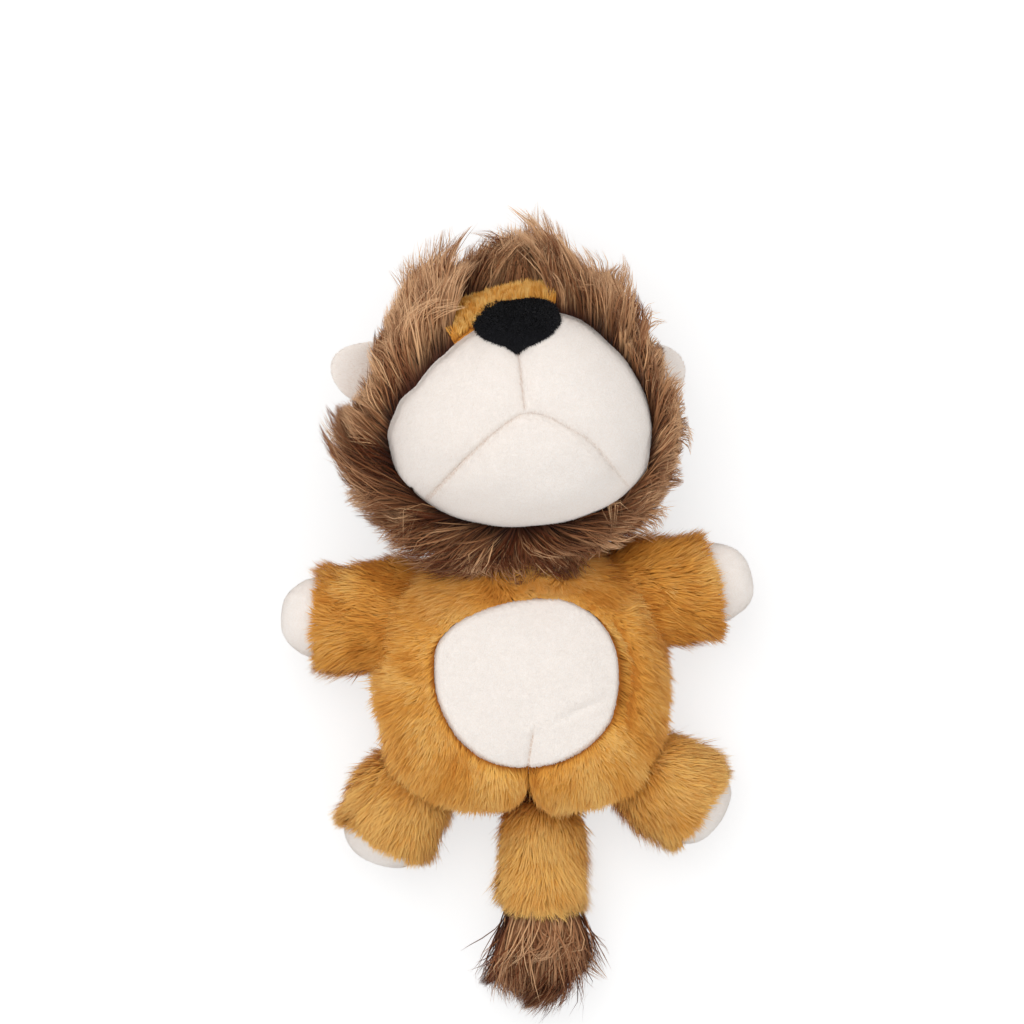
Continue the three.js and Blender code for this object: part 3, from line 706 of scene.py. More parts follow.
def cloth_part(cloth: Cloth, wall: float, tone: Level, along: float) -> MeshPart:
    """A cloth with its wall, ready to be made part of a piece.

    Args:
        cloth: the outer face.
        wall: the cloth's thickness.
        tone: place on the strand map across, for each place in space.
        along: place on the strand map along.

    Returns:
        The cloth's triangles.
    """
    if wall:
        cloth.thicken(wall)
    faces = cloth.faces()
    points = cloth.points()
    across = np.clip(tone(points), 0.02, 0.98)[faces] + np.array([-0.006, 0.006, 0.0])
    height = np.broadcast_to(along + np.array([0.0, 0.002, 0.012]), across.shape)
    return MeshPart(points, faces, cloth.normals(), np.stack([across, height], axis=2))


def backing(cloth: Cloth, tone: float = 0.3, along: float = 0.02) -> MeshPart:
    """The cloth that a fur grows on, as dark as its pile at the root: painted shade between the strands."""
    return cloth_part(cloth, BACKING, even(tone), along)


def mesh_object(name: str, parts: list[MeshPart], finish: bpy.types.Material) -> bpy.types.Object:
    """Makes one object in metres out of parts in millimetres.

    Args:
        name: of the object and its mesh.
        parts: what it is made of.
        finish: its material.

    Returns:
        The object, at the origin.
    """
    starts = np.cumsum([0] + [len(p.points) for p in parts])[:-1]
    points = np.concatenate([p.points for p in parts]) * MM
    faces = np.concatenate([p.faces + s for p, s in zip(parts, starts)])
    normals = np.concatenate([p.normals for p in parts])
    maps = np.concatenate([p.corners for p in parts]).astype(np.float32)
    mesh = bpy.data.meshes.new(name)
    mesh.vertices.add(len(points))
    mesh.vertices.foreach_set("co", points.astype(np.float32).ravel())
    mesh.loops.add(faces.size)
    mesh.loops.foreach_set("vertex_index", faces.astype(np.int32).ravel())
    mesh.polygons.add(len(faces))
    mesh.polygons.foreach_set("loop_start", np.arange(0, faces.size, 3, dtype=np.int32))
    mesh.update(calc_edges=True)
    mesh.polygons.foreach_set("use_smooth", np.ones(len(faces), bool))
    for layer in (STRAND_MAP, BAKE_MAP):
        mesh.uv_layers.new(name=layer).data.foreach_set("uv", maps.ravel())
    mesh.normals_split_custom_set_from_vertices(normals)
    mesh.materials.append(finish)
    return placed(name, mesh)


class Nodes:
    """A short way to lay out a material's or a group's nodes."""

    def __init__(self, tree: bpy.types.NodeTree) -> None:
        """Starts on an empty tree."""
        self.tree = tree
        tree.nodes.clear()

    def add(self, kind: str, settings: dict | None = None, **inputs: object) -> bpy.types.Node:
        """Adds a node.

        Args:
            kind: the node's type name without the common start.
            settings: its properties.
            inputs: its sockets, by name with underscores for spaces, as values or outputs.

        Returns:
            The node.
        """
        node = self.tree.nodes.new("ShaderNode" + kind)
        for key, value in (settings or {}).items():
            setattr(node, key, value)
        for key, value in inputs.items():
            self.feed(node.inputs[key.replace("_", " ")], value)
        return node

    def feed(self, socket: bpy.types.NodeSocket, value: object) -> None:
        """Links an output to a socket, or sets a plain value on it."""
        if isinstance(value, bpy.types.NodeSocket):
            self.tree.links.new(value, socket)
        else:
            socket.default_value = value

    def math(self, operation: str, first: object, second: object = 0.0) -> bpy.types.NodeSocket:
        """The result of a sum of two values."""
        node = self.add("Math", {"operation": operation})
        self.feed(node.inputs[0], first)
        self.feed(node.inputs[1], second)
        return node.outputs[0]

    def mix(self, share: object, first: object, last: object) -> bpy.types.NodeSocket:
        """A mix of two colours."""
        node = self.add("Mix", {"data_type": "RGBA"})
        for place, value in ((0, share), (6, first), (7, last)):
            self.feed(node.inputs[place], value)
        return node.outputs[2]

    def seen(self) -> bpy.types.NodeSocket:
        """1 for rays that show what they meet: from the camera, off gloss or through glass."""
        path = self.add("LightPath").outputs
        seen = self.math("MAXIMUM", path["Is Camera Ray"], path["Is Glossy Ray"])
        return self.math("MAXIMUM", seen, path["Is Transmission Ray"])

    def ramp(self, value: object, low: float, high: float) -> bpy.types.NodeSocket:
        """A soft step of a value from 0 at low to 1 at high."""
        settings = {"interpolation_type": "SMOOTHSTEP"}
        node = self.add("MapRange", settings, Value=value, From_Min=low, From_Max=high)
        return node.outputs[0]


def pile_group() -> bpy.types.ShaderNodeTree:
    """The node group that colours a strand from root to tip by its tone, darker towards the root as painted shade.

    Returns:
        The group, with the colour and the roughness of each place as outputs.
    """
    group = bpy.data.node_groups.new("Pile Colour", "ShaderNodeTree")
    inputs = [("Strand", "NodeSocketVector")]
    inputs += [(name, "NodeSocketColor") for name in SHADES]
    inputs += [(n, "NodeSocketFloat") for n in ("Streak", "Rough")]
    for name, kind in inputs:
        group.interface.new_socket(name, in_out="INPUT", socket_type=kind)
    for name, kind in (("Colour", "NodeSocketColor"), ("Roughness", "NodeSocketFloat")):
        group.interface.new_socket(name, in_out="OUTPUT", socket_type=kind)
    nodes = Nodes(group)
    given = group.nodes.new("NodeGroupInput").outputs
    place = nodes.add("SeparateXYZ", Vector=given["Strand"]).outputs
    tone, along = place["X"], place["Y"]
    body = nodes.mix(nodes.ramp(tone, 0.0, 0.5), given["Dark"], given["Middle"])
    body = nodes.mix(nodes.ramp(tone, 0.5, 1.0), body, given["Light"])
    tipped = nodes.mix(nodes.ramp(along, 0.45, 1.0), body, given["Tip"])
    lit = nodes.mix(nodes.math("MULTIPLY", nodes.ramp(tone, 0.2, 0.9), 0.7), body, tipped)
    # painted shade: the lower half of each strand fades into the darker root colour
    whole = nodes.mix(nodes.ramp(along, 0.0, 0.5), given["Root"], lit)
    stretch = nodes.add(
        "Mapping", Vector=given["Strand"], Scale=(160.0, 3.0, 1.0), Location=(3.7, 1.3, 0.0)
    )
    settings = {"noise_dimensions": "2D"}
    streaks = nodes.add("TexNoise", settings, Vector=stretch.outputs[0], Scale=1.0, Detail=2.0)
    bright = nodes.math("SUBTRACT", streaks.outputs[0], 0.5)
    bright = nodes.math("MULTIPLY", bright, given["Streak"])
    bright = nodes.math("ADD", bright, 1.0)
    final = nodes.add("HueSaturation", Color=whole, Value=bright).outputs[0]
    rough = nodes.math("MULTIPLY", nodes.math("SUBTRACT", streaks.outputs[0], 0.5), 0.3)
    rough = nodes.math("ADD", rough, given["Rough"])
    out = group.nodes.new("NodeGroupOutput")
    nodes.feed(out.inputs["Colour"], final)
    nodes.feed(out.inputs["Roughness"], rough)
    return group


@dataclass(frozen=True)
class PileFinish:
    """The colours of a pile from its root to its tip, its root darkened as painted shade, and how it takes light."""

    name: str
    slot: str  # the record's material slot
    # root: painted shade, the pile's colour darkened where it lies deep among the strands
    root: Shade
    dark: Shade
    middle: Shade
    light: Shade
    tip: Shade
    streak: float = 0.5
    rough: float = 0.75
    sheen: float = 0.1
    specular: float = 0.25
    grain: float = 0.0  # strength of the fine relief that a very short nap shows

    def material(self) -> bpy.types.Material:
        """The finish as a material, made once."""
        known = bpy.data.materials.get(self.name)
        if known:
            return known
        made = bpy.data.materials.new(self.name)
        made.use_nodes = True
        nodes = Nodes(made.node_tree)
        where = nodes.add("UVMap", {"uv_map": STRAND_MAP}).outputs[0]
        group = bpy.data.node_groups.get("Pile Colour") or pile_group()
        colour = nodes.add(
            "Group", {"node_tree": group}, Strand=where, Streak=self.streak, Rough=self.rough
        )
        for socket in SHADES:
            nodes.feed(colour.inputs[socket], linear(getattr(self, socket.lower())))
        shader = nodes.add(
            "BsdfPrincipled",
            Base_Color=colour.outputs["Colour"],
            Roughness=colour.outputs["Roughness"],
            Sheen_Weight=self.sheen,
            Sheen_Roughness=0.4,
            Specular_IOR_Level=self.specular,
        )
        if self.grain:
            where = nodes.add("TexCoord").outputs["Object"]
            fine = nodes.add("TexNoise", Vector=where, Scale=650.0, Detail=3.0).outputs[0]
            bump = nodes.add("Bump", Strength=self.grain, Distance=0.0004, Height=fine)
            nodes.feed(shader.inputs["Normal"], bump.outputs[0])
        out = nodes.add("OutputMaterial")
        nodes.feed(out.inputs[0], shader.outputs[0])
        return made


# Each finish's root colour is painted shade at the depth of its pile.
GOLDEN_FUR = PileFinish(
    "golden_fur_pile", "golden_fur",
    root=(186, 110, 32), dark=(207, 129, 42), middle=(230, 160, 64),
    light=(243, 187, 94), tip=(249, 207, 128), streak=0.3, sheen=0.15,
)
MANE_FUR = PileFinish(
    "mane_fur_pile", "mane_fur",
    root=(63, 27, 10), dark=(104, 51, 22), middle=(162, 110, 72),
    light=(216, 168, 122), tip=(236, 196, 154), streak=0.6, sheen=0.04, specular=0.24,
)
WHITE_VELBOA = PileFinish(
    "white_velboa_nap", "white_velboa",
    root=(244, 234, 225), dark=(222, 198, 180), middle=(248, 240, 233),
    light=(251, 247, 243), tip=(253, 250, 247), streak=0.08, rough=0.85, sheen=0.2, grain=0.55,
)
BLACK_VELBOA = PileFinish(
    "black_velboa_nap", "black_velboa",
    root=(8, 8, 11), dark=(10, 10, 14), middle=(16, 16, 21),
    light=(26, 27, 33), tip=(40, 41, 48), streak=0.4, rough=0.85, sheen=0.05,
)
FIBRE_FILL = PileFinish(
    "fibre_fill_wadding", "fibre_fill",
    root=(225, 225, 222), dark=(232, 232, 228), middle=(240, 240, 237),
    light=(246, 246, 244), tip=(250, 250, 249), streak=0.15, rough=0.9,
)


@dataclass(frozen=True)
class Piece:
    """What a finished piece stands for, what it is made of and what it moves with."""

    name: str
    node: str
    finish: PileFinish
    body: str
    fill: Optional[float] = 0.8
    bends_with: Optional[tuple[str, tuple, tuple]] = None  # other body, start and end in mm

    def dress(self, parts: list[MeshPart]) -> None:
        """Makes the piece and gives it its place in the frame."""
        made = mesh_object(self.name, parts, self.finish.material())
        if self.bends_with:
            other, *ends = self.bends_with
            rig.blend(made, self.body, other, *([v * MM for v in end] for end in ends))
        else:
            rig.ride(made, self.body)
        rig.replaces(made, self.node)
        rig.slot(made, self.finish.slot)
        if self.fill is not None:
            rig.padded(made, fill=self.fill)
        LOG.info("%s: %d triangles", self.name, sum(len(p.faces) for p in parts))


class Nap:
    """The shared pile sizes of the lion's cloths."""

    GOLDEN = Pile(
        length=12.5, width=0.5, unruly=0.14, tuft_size=16, tuft_pull=0.42, gather=1.6, curl=0.16,
        tone_spread=0.06, roll=18.0, softness=0.84,
    )
    VELBOA = Pile(
        length=1.3, width=0.5, bends=1, unruly=0.08, tuft_size=1, tone_spread=0.08, roll=4.0,
        softness=0.97,
    )
    LONG = Pile(
        length=40.0, width=0.58, bends=4, unruly=0.05, length_spread=0.16, tuft_size=13,
        tuft_pull=0.86, lock_size=12, lock_pull=0.8, gather=1.9, lock_length_spread=0.18,
        lock_tone_spread=0.15, proud=-2.0, proud_spread=4.2, curl=0.4, tone_spread=0.08,
        tuft_tone_spread=0.13, roll=45.0, full_until=0.3, softness=0.4,
    )
    STRAY_LOCKS = Pile(
        length=46.0, width=0.55, bends=5, unruly=0.045, length_spread=0.15, tuft_size=20,
        tuft_pull=0.94, lock_size=3, lock_pull=0.6, gather=1.4, lock_length_spread=0.2,
        lock_tone_spread=0.14, proud=3.5, proud_spread=6.0, curl=0.55, tone_spread=0.08,
        tuft_tone_spread=0.14, roll=45.0, softness=0.4,
    )


def napped(
    cloth: Cloth,
    count: int,
    flow: Callable[[Array], Array],
    tone: Level,
    seed: int,
    wall: float = 1.2,
) -> list[MeshPart]:
    """A short-pile cloth: its wall and its nap.

    Args:
        cloth: the outer face.
        count: how many strands of nap.
        flow: the way that the nap is brushed, for each place.
        tone: from 0, tinted as in a seam, to 1, for each place.
        seed: of the random draw.
        wall: thickness of the cloth.

    Returns:
        The parts of the piece.
    """
    draw = np.random.default_rng(seed)
    points, normals = cloth.scatter(count, draw)
    roots = combed(points, normals, flow(points), 76, 8, np.ones(count), tone(points))
    nap = Nap.VELBOA.grow(roots, draw)
    return [cloth_part(cloth, wall, tone, 0.5), nap]


@dataclass(frozen=True)
class Line:
    """A smooth line in plan through a few places, as a height along for each place across."""

    across: tuple[float, ...]
    along: tuple[float, ...]

    def at(self, across: Array) -> Array:
        """How far along the line lies at each place across."""
        places = np.array(self.across)
        slopes = np.gradient(np.array(self.along), places)
        spot = np.clip(np.searchsorted(places, across) - 1, 0, len(places) - 2)
        span = places[spot + 1] - places[spot]
        t = np.clip((across - places[spot]) / span, -0.5, 1.5)
        low, high = np.array(self.along)[spot], np.array(self.along)[spot + 1]
        first, last = slopes[spot] * span, slopes[spot + 1] * span
        cubic = (2 * t**3 - 3 * t**2 + 1) * low + (t**3 - 2 * t**2 + t) * first
        return cubic + (3 * t**2 - 2 * t**3) * high + (t**3 - t**2) * last

    def away(self, points: Array) -> Array:
        """Distance from the line, roughly, positive beyond it along."""
        here = self.at(points[:, 0])
        slope = self.at(points[:, 0] + 0.5) - self.at(points[:, 0] - 0.5)
        return (points[:, 1] - here) / np.sqrt(1 + slope**2)


@dataclass(frozen=True)
class Round:
    """A number for every bearing, which runs smoothly all the way round."""

    bearings: tuple[float, ...]
    numbers: tuple[float, ...]
    turn: float = 0.0  # how much the number gains in one way round

    def at(self, bearings: Array) -> Array:
        """The number at each bearing in degrees."""
        rounds = np.array([[-1], [0], [1]])
        places = np.array(self.bearings) + 360 * rounds
        values = np.array(self.numbers) + self.turn * rounds
        return np.interp(bearings, places.ravel(), values.ravel())


@dataclass
class Torso:
    """The golden body: two front panels, a back panel, the belly patch and what fills them."""

    form: StuffedForm = StuffedForm((0, 0, 37.5), 62, 62, 51, 66, 38, 38, 2.4, corners=0.6)
    cloth_depth: float = 5.0  # of the fur's cloth under the mean surface of the pile
    patch_depth: float = 4.0
    stuffing_depth: float = 9.0
    side_seam: float = 30.0
    centre_seam: float = 2.4
    neck_seam: float = 60.0
    neck_pull: float = 0.7  # share by which the torso is drawn in beyond the neck's seam
    patch_middle: tuple[float, float] = (1.7, 3.3)
    patch_margin: float = 0.8
    patch_edge: Round = Round(
        (4.6, 18.8, 31.9, 44.8, 58.6, 70.8, 76.1, 92.5, 110.2, 124.5, 139.6, 150.4, 158.6,
         171.4, 186.8, 204.1, 221.5, 238.7, 254, 268.7, 282.5, 300.4, 317.6, 334.7, 350),
        (40.2, 41.2, 41.6, 41.6, 40.2, 39.3, 38.5, 36.4, 35.9, 37.3, 40.0, 41.8, 42.3,
         40.7, 39.5, 38.1, 37.8, 37.7, 37.3, 37.3, 36.6, 37.0, 38.1, 39.8, 39.9),
    )
    front_seam_start: float = -25.0  # the seam below the patch
    front_strands: int = 45000
    back_strands: int = 20000
    patch_strands: int = 30000
    drift: Drift = field(default_factory=lambda: Drift(34, 11))

    def shape(self, depth: float) -> Callable[[Array], Array]:
        """The torso's form at a depth, flattened where it rests and drawn in at the neck."""

        def place(directions: Array) -> Array:
            points = self.form.place(directions, -depth)
            beyond = points[:, 1] - self.neck_seam
            points[:, 1] -= np.where(beyond > 0, self.neck_pull * beyond, 0)
            low = depth - points[:, 2]
            points[:, 2] += np.where(low > -2, (low + 2) * 0.5, 0)
            return points

        return place

    def patch_level(self, points: Array) -> Array:
        """Distance in plan, roughly in millimetres, outside the belly patch's edge."""
        own = points[:, :2] - self.patch_middle
        edge = self.patch_edge.at(plan_angle(points, self.patch_middle)) + self.patch_margin
        away = np.hypot(own[:, 0], own[:, 1]) - edge
        return np.where(points[:, 2] > self.side_seam, away, 99.0)

    def groove(self, points: Array) -> Array:
        """How near a place is to the crease that runs along the patch's right edge."""
        bearing = off_bearing(plan_angle(points, self.patch_middle), 0)
        span = smooth(bearing, -32, -8) * smooth(-bearing, -46, -30)
        return hump(self.patch_level(points) - 3.2, 1.8) * span

    def front_depth(self, points: Array) -> Array:
        """How far the front's cloth is drawn in at its seams."""
        edge = hump(self.patch_level(points), 2.6) * 1.6
        below = smooth(-points[:, 1], 28, 40)
        cleft = hump(points[:, 0] - self.centre_seam, 5.0) * below * 5.0
        side = hump(points[:, 2] - self.side_seam, 3.0) * 1.0
        return edge + cleft + side + 3.0 * self.groove(points)

    def flow(self, points: Array) -> Array:
        """The way the golden pile is brushed: away from the patch and down."""
        radial = points[:, :2] - self.patch_middle
        radial = radial / np.maximum(np.hypot(*radial.T)[:, None], 1)
        level = smooth(points[:, 2], 10, 50)
        turn = self.drift.at(points)[:, None] * 0.45
        side = np.stack([-radial[:, 1], radial[:, 0]], axis=1)
        plan = radial * np.array([0.7, 0.45]) + side * turn + np.array([0, -0.8])
        sink = (-0.35 - 0.3 * level) * (1 - 0.9 * smooth(points[:, 1], 8, 36))
        return np.column_stack([plan, sink])

    def fur(self, cloth: Cloth, count: int, seed: int) -> list[MeshPart]:
        """Golden pile on one of the torso's cloths, with the cloth itself."""
        draw = np.random.default_rng(seed)
        points, normals = cloth.scatter(count, draw)
        away = self.patch_level(points)
        crease = self.groove(points)
        reach = 0.55 + 0.45 * smooth(away, 0, 14) - 0.25 * crease
        reach -= 0.28 * smooth(points[:, 1], 14, 32) * (1 - smooth(away, 2, 8))
        reach *= 1 + 0.14 * Drift(22, 12).at(points)
        seam = (points[:, 2] > self.side_seam) & (points[:, 1] < self.front_seam_start)
        part = hump(points[:, 0] - self.centre_seam, 6.0) * seam
        flow = self.flow(points)
        flow[:, 0] += part * np.sign(points[:, 0] - self.centre_seam) * 0.9
        # painted shade: darker in the parting along the centre seam and in the crease by the patch's right edge
        tone = 0.56 + 0.16 * self.drift.at(points * 1.5) - 0.2 * part - 0.6 * crease
        roots = combed(points, normals, flow, 46, 28, reach, tone)
        fur = Nap.GOLDEN.grow(roots, draw)
        return [backing(cloth), fur]

    def patch_tone(self, points: Array) -> Array:
        """The belly patch's tone: darker at its edge as a painted shadow ring, and along its dart, partly the seam's
        own line and partly painted shade in its fold.
        """
        rim = hump(self.patch_level(points), 1.4)
        dart = hump(points[:, 0] - self.dart_across(points), 0.6) * self.dart_share(points)
        return 0.64 - 0.1 * rim - 0.62 * dart

    def dart_across(self, points: Array) -> Array:
        """Where the dart seam at the patch's lower edge runs."""
        up = points[:, 1] + 34
        return 1.9 + up * 0.12 + up**2 * 0.0018

    def dart_share(self, points: Array) -> Array:
        """How strongly the dart draws the patch in."""
        return smooth(-points[:, 1], 14, 21)

    def patch_dent(self, points: Array) -> Array:
        """How far the patch is drawn in at its edge, dart and creases."""
        rim = hump(self.patch_level(points), 1.3) * 2.4
        dart = hump(points[:, 0] - self.dart_across(points), 1.2) * 1.1
        valley = hump(points[:, 0] - self.dart_across(points), 6.0) * 0.8
        crease = points[:, 1] + 13 - (points[:, 0] - 14.6) * 0.44
        fold = hump(crease, 2.4) * hump(points[:, 0] - 24, 9.0) * 1.1
        soft = Drift(26, 5).at(points) * 0.3
        return rim + (dart + valley) * self.dart_share(points) + fold + soft

    def build(self) -> None:
        """Makes the torso's pieces."""
        fronts = (
            ("torso_front_left", "torso_front_left_panel", 1.0, 21),
            ("torso_front_right", "torso_front_right_panel", -1.0, 22),
        )
        for name, node, side, seed in fronts:
            cloth = Cloth(self.shape(self.cloth_depth))
            cloth.keep(lambda p: self.side_seam - p[:, 2])
            cloth.keep(lambda p, s=side: (p[:, 0] - self.centre_seam) * s)
            cloth.keep(lambda p: -self.patch_level(p))
            cloth.press(self.front_depth)
            fur = self.fur(cloth, self.front_strands, seed)
            Piece(name, node, GOLDEN_FUR, "torso").dress(fur)
        back = Cloth(self.shape(self.cloth_depth))
        back.keep(lambda p: p[:, 2] - self.side_seam)
        fur = self.fur(back, self.back_strands, 23)
        Piece("torso_back", "torso_back_panel", GOLDEN_FUR, "torso").dress(fur)
        patch = Cloth(self.shape(self.patch_depth), 7)
        patch.keep(self.patch_level)
        patch.press(self.patch_dent)
        down = steady((0.15, -1.0, 0.0))
        parts = napped(patch, self.patch_strands, down, self.patch_tone, 24)
        Piece("belly_patch_velboa", "belly_patch", WHITE_VELBOA, "torso").dress(parts)
        wadding("torso_wadding", "torso_stuffing", "torso", self.shape(self.stuffing_depth), 25)


def wadding(name: str, node: str, body: str, shape: Callable[[Array], Array], seed: int) -> None:
    """Makes a lumpy ball of stuffing fibre.

    Args:
        name: of the piece.
        node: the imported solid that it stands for.
        body: what it moves with.
        shape: its form.
        seed: of its lumps and loose fibres.
    """
    lumps = Drift(14, seed)
    cloth = Cloth(shape, 5)
    cloth.press(lambda p: 0.5 + 0.4 * lumps.at(p))
    draw = np.random.default_rng(seed)
    points, normals = cloth.scatter(LOOSE_FIBRES, draw)
    flow = draw.normal(size=points.shape)
    tone = np.full(len(points), 0.5)
    roots = combed(points, normals, flow, 75, 30, tone, tone)
    fibres = Pile(length=5.0, width=0.3, tuft_size=1).grow(roots, draw)
    parts = [cloth_part(cloth, 0, lambda p: 0.5 + 0.1 * lumps.at(p), 0.5), fibres]
    Piece(name, node, FIBRE_FILL, body).dress(parts)


@dataclass
class Head:
    """The stuffed head: the muzzle's three panels, nose, forehead and mane."""

    middle: tuple[float, float, float] = (-1.0, 112.0, 62.0)
    form: StuffedForm = StuffedForm((0, 0, 0), 61, 61, 44, 58, 54, 56, 2.2, 0.12)
    face: Round = Round(
        (0.8, 25.5, 45.8, 72.8, 92, 113.1, 134.2, 156.6, 165.7, 181.7, 201.0, 217.1, 236.3,
         278.5, 313.7, 332.1, 352.4),
        (59.4, 57.4, 55.7, 57.6, 55.8, 50.5, 48.4, 51.4, 56.3, 59.3, 58.5, 54.8, 48.4,
         44.6, 51.2, 58.6, 58.8),
    )
    face_limit: float = 0.985  # share of the head's own reach that the face keeps to
    mouth: Line = Line(
        (-60, -52, -41.5, -37.6, -21.6, -8, 1.9, 11, 20.5, 32.2, 41.4, 48.3, 60),
        (-47, -39, -29.5, -26, -9.6, 2.2, 7.8, 6.6, 1.7, -6.1, -17.4, -25.6, -38),
    )
    philtrum_top: tuple[float, float] = (-1.2, 35.6)
    philtrum_foot: tuple[float, float] = (1.9, 7.8)
    nose_middle: tuple[float, float] = (-1.8, 46.5)
    nose_rise: float = 4.5
    nose_top: float = 54.4  # how far up the brow the nose lies on the head
    nose_sink: float = 0.4  # how deep its edge lies in the head
    stuffing_depth: float = 3.5
    neck: StuffedForm = StuffedForm((0, 62, 44), 14, 14, 14, 14, 14, 14, 2.0)
    nape_seam: float = -36.0
    forehead_span: tuple[float, float] = (75.0, 127.0)
    forehead_foot: float = -7.0
    muzzle_strands: int = 30000
    nose_strands: int = 18000
    forehead_strands: int = 11000
    mane_strands: int = 23000
    nape_strands: int = 11000

    def local(self, shape: Callable[[Array], Array]) -> Callable[[Array], Array]:
        """A shape round the head's own middle, moved to its place."""
        return lambda directions: shape(directions) + self.middle

    def inner(self, points: Array) -> Array:
        """Places of the shared frame, from the head's own middle."""
        return points - self.middle

    def bearing(self, points: Array) -> Array:
        """Bearings of places round the head's middle, in degrees."""
        return plan_angle(self.inner(points), (0, 0))

    def between(self, start: float, end: float) -> Level:
        """Degrees outside the sector between two bearings, negative inside it."""
        middle, half = (start + end) / 2, (end - start) / 2
        return lambda points: np.abs(off_bearing(self.bearing(points), middle)) - half

    def face_level(self, points: Array) -> Array:
        """Distance in plan outside the muzzle's visible edge."""
        own = self.inner(points)
        away = np.hypot(own[:, 0], own[:, 1]) - self.face_edge(self.bearing(points))
        return np.where(own[:, 2] > 0, away, 9.0)

    def face_edge(self, bearing: Array) -> Array:
        """Reach of the muzzle's edge in plan, kept on the upper half of the head."""
        across, along, _ = heading(bearing).T
        high = np.where(along < 0, self.form.down, self.form.up)
        power = self.form.squareness
        wide = self.form.right
        rim = (np.abs(across / wide) ** power + np.abs(along / high) ** power) ** (-1 / power)
        rim = rim * (1 - 0.1 * np.maximum(along, 0) ** 2 * np.abs(across))
        return np.minimum(self.face.at(bearing), self.face_limit * rim)

    def philtrum_away(self, own: Array) -> Array:
        """Distance across from the seam that runs down from the nose."""
        (top_x, top_y), (foot_x, foot_y) = self.philtrum_top, self.philtrum_foot
        share = (own[:, 1] - foot_y) / (top_y - foot_y)
        return own[:, 0] - (foot_x + share * (top_x - foot_x))

    def seams(self, points: Array, width: float) -> Array:
        """How near a place is to a seam of the muzzle, from 0 to 1."""
        own = self.inner(points)
        mouth = hump(self.mouth.away(own), width)
        below_nose = smooth(self.philtrum_foot[1] + 2 - own[:, 1], 2.0, -1.0)
        down = hump(self.philtrum_away(own), width) * below_nose
        return np.maximum(mouth, down)

    def face_dent(self, points: Array) -> Array:
        """How far the muzzle is drawn in at its seams and its edge."""
        own = self.inner(points)
        inside = 1 - hump(self.face_level(points), 9.0)
        seam = (1.0 * self.seams(points, 1.1) + 1.4 * self.seams(points, 6.0)) * inside
        fold = own[:, 1] + 27 - (own[:, 0] + 50) * 0.75
        second = hump(fold, 1.8) * hump(own[:, 0] + 50, 6.0) * 0.7
        rim = hump(self.face_level(points), 3.0) * 2.4
        soft = Drift(30, 31).at(points) * 0.35
        return seam + second + rim + soft

    def face_tone(self, points: Array) -> Array:
        """The muzzle's tone: darker in its seams, partly the seams' own tint and partly painted shade in their
        grooves, darker at its edge as painted shade where it meets the mane, and a little warmer and darker on the
        left than on the right.
        """
        seam = np.maximum(self.seams(points, 1.2) * 0.34, self.seams(points, 5.0) * 0.1)
        warm = 0.07 * np.tanh(self.inner(points)[:, 0] / 20)
        rim = hump(self.face_level(points), 1.8) * 0.2
        return 0.62 + warm - seam - rim

    def muzzle(self) -> None:
        """Makes the two cheeks and the chin."""
        left = lambda p: self.philtrum_away(self.inner(p))
        above = lambda p: -self.mouth.away(self.inner(p))
        panels = (
            ("muzzle_left_cheek", "muzzle_left_panel", (above, left), 41),
            ("muzzle_right_cheek", "muzzle_right_panel", (above, lambda p: -left(p)), 42),
            ("muzzle_chin", "chin_panel", (lambda p: -above(p),), 43),
        )
        for name, node, levels, seed in panels:
            cloth = Cloth(self.local(self.form.place), 7)
            cloth.keep(self.face_level)
            for level in levels:
                cloth.keep(level)
            cloth.press(self.face_dent)
            parts = napped(cloth, self.muzzle_strands, self.face_flow, self.face_tone, seed)
            Piece(name, node, WHITE_VELBOA, "head", 0.85).dress(parts)

    def face_flow(self, points: Array) -> Array:
        """The muzzle's nap is brushed away from the nose and towards the chin."""
        own = self.inner(points) * (0.012, 0, 0)
        return own + (0, -1, 0)

    def nose(self) -> None:
        """Makes the padded nose, rounded over the brow."""
        outline = Round(
            (0, 25, 50, 68, 90, 112, 130, 155, 180, 200, 222, 245, 262, 270, 278, 295, 318, 340),
            (18.9, 17.8, 13.2, 9.6, 8.2, 8.4, 10.6, 15.0, 18.4, 16.6, 13.0, 11.1, 11.9, 12.6,
             11.9, 10.9, 12.7, 16.0),
        )

        rise = lambda across, along: self.form.rise(across, along, -self.nose_sink)

        def shape(directions: Array) -> Array:
            """Lays a flattened ball over the brow."""
            colat = np.arccos(np.clip(directions[:, 2], -1, 1)) / (math.pi / 2)
            share = np.where(colat <= 1, colat, 2 - colat)
            bearing = plan_angle(directions, (0, 0))
            reach = (outline.at(bearing) * share)[:, None] * heading(bearing)
            x, y = (reach[:, :2] + self.nose_middle).T
            puff = np.sqrt(np.maximum(1 - share**2.6, 0)) * self.nose_rise
            lift = np.where(colat <= 1, puff, -0.6)
            limit = np.minimum(y, self.nose_top - 0.006 * x**2)
            base = np.column_stack([x, limit + (y - limit) * 0.6, rise(x, limit)])
            slope = rise(x, limit + 0.5) - rise(x, limit - 0.5)
            tilt = rise(x + 0.5, limit) - rise(x - 0.5, limit)
            outward = unit(np.column_stack([-tilt, -slope, np.ones(len(x))]))
            return base + outward * lift[:, None]

        cloth = Cloth(self.local(shape), 5)
        draw = np.random.default_rng(51)
        points, normals = cloth.scatter(self.nose_strands, draw)
        flow = steady((0.0, -1.0, 0.0))(points)
        tone = 0.5 + 0.15 * Drift(7, 52).at(points)
        roots = combed(points, normals, flow, 40, 15, np.ones(len(points)), tone)
        nap = Pile(length=1.6, width=0.42, bends=1, unruly=0.4, tuft_size=1).grow(roots, draw)
        parts = [cloth_part(cloth, 0, even(0.35), 0.3), nap]
        Piece("nose_pad", "nose", BLACK_VELBOA, "head", 0.9).dress(parts)

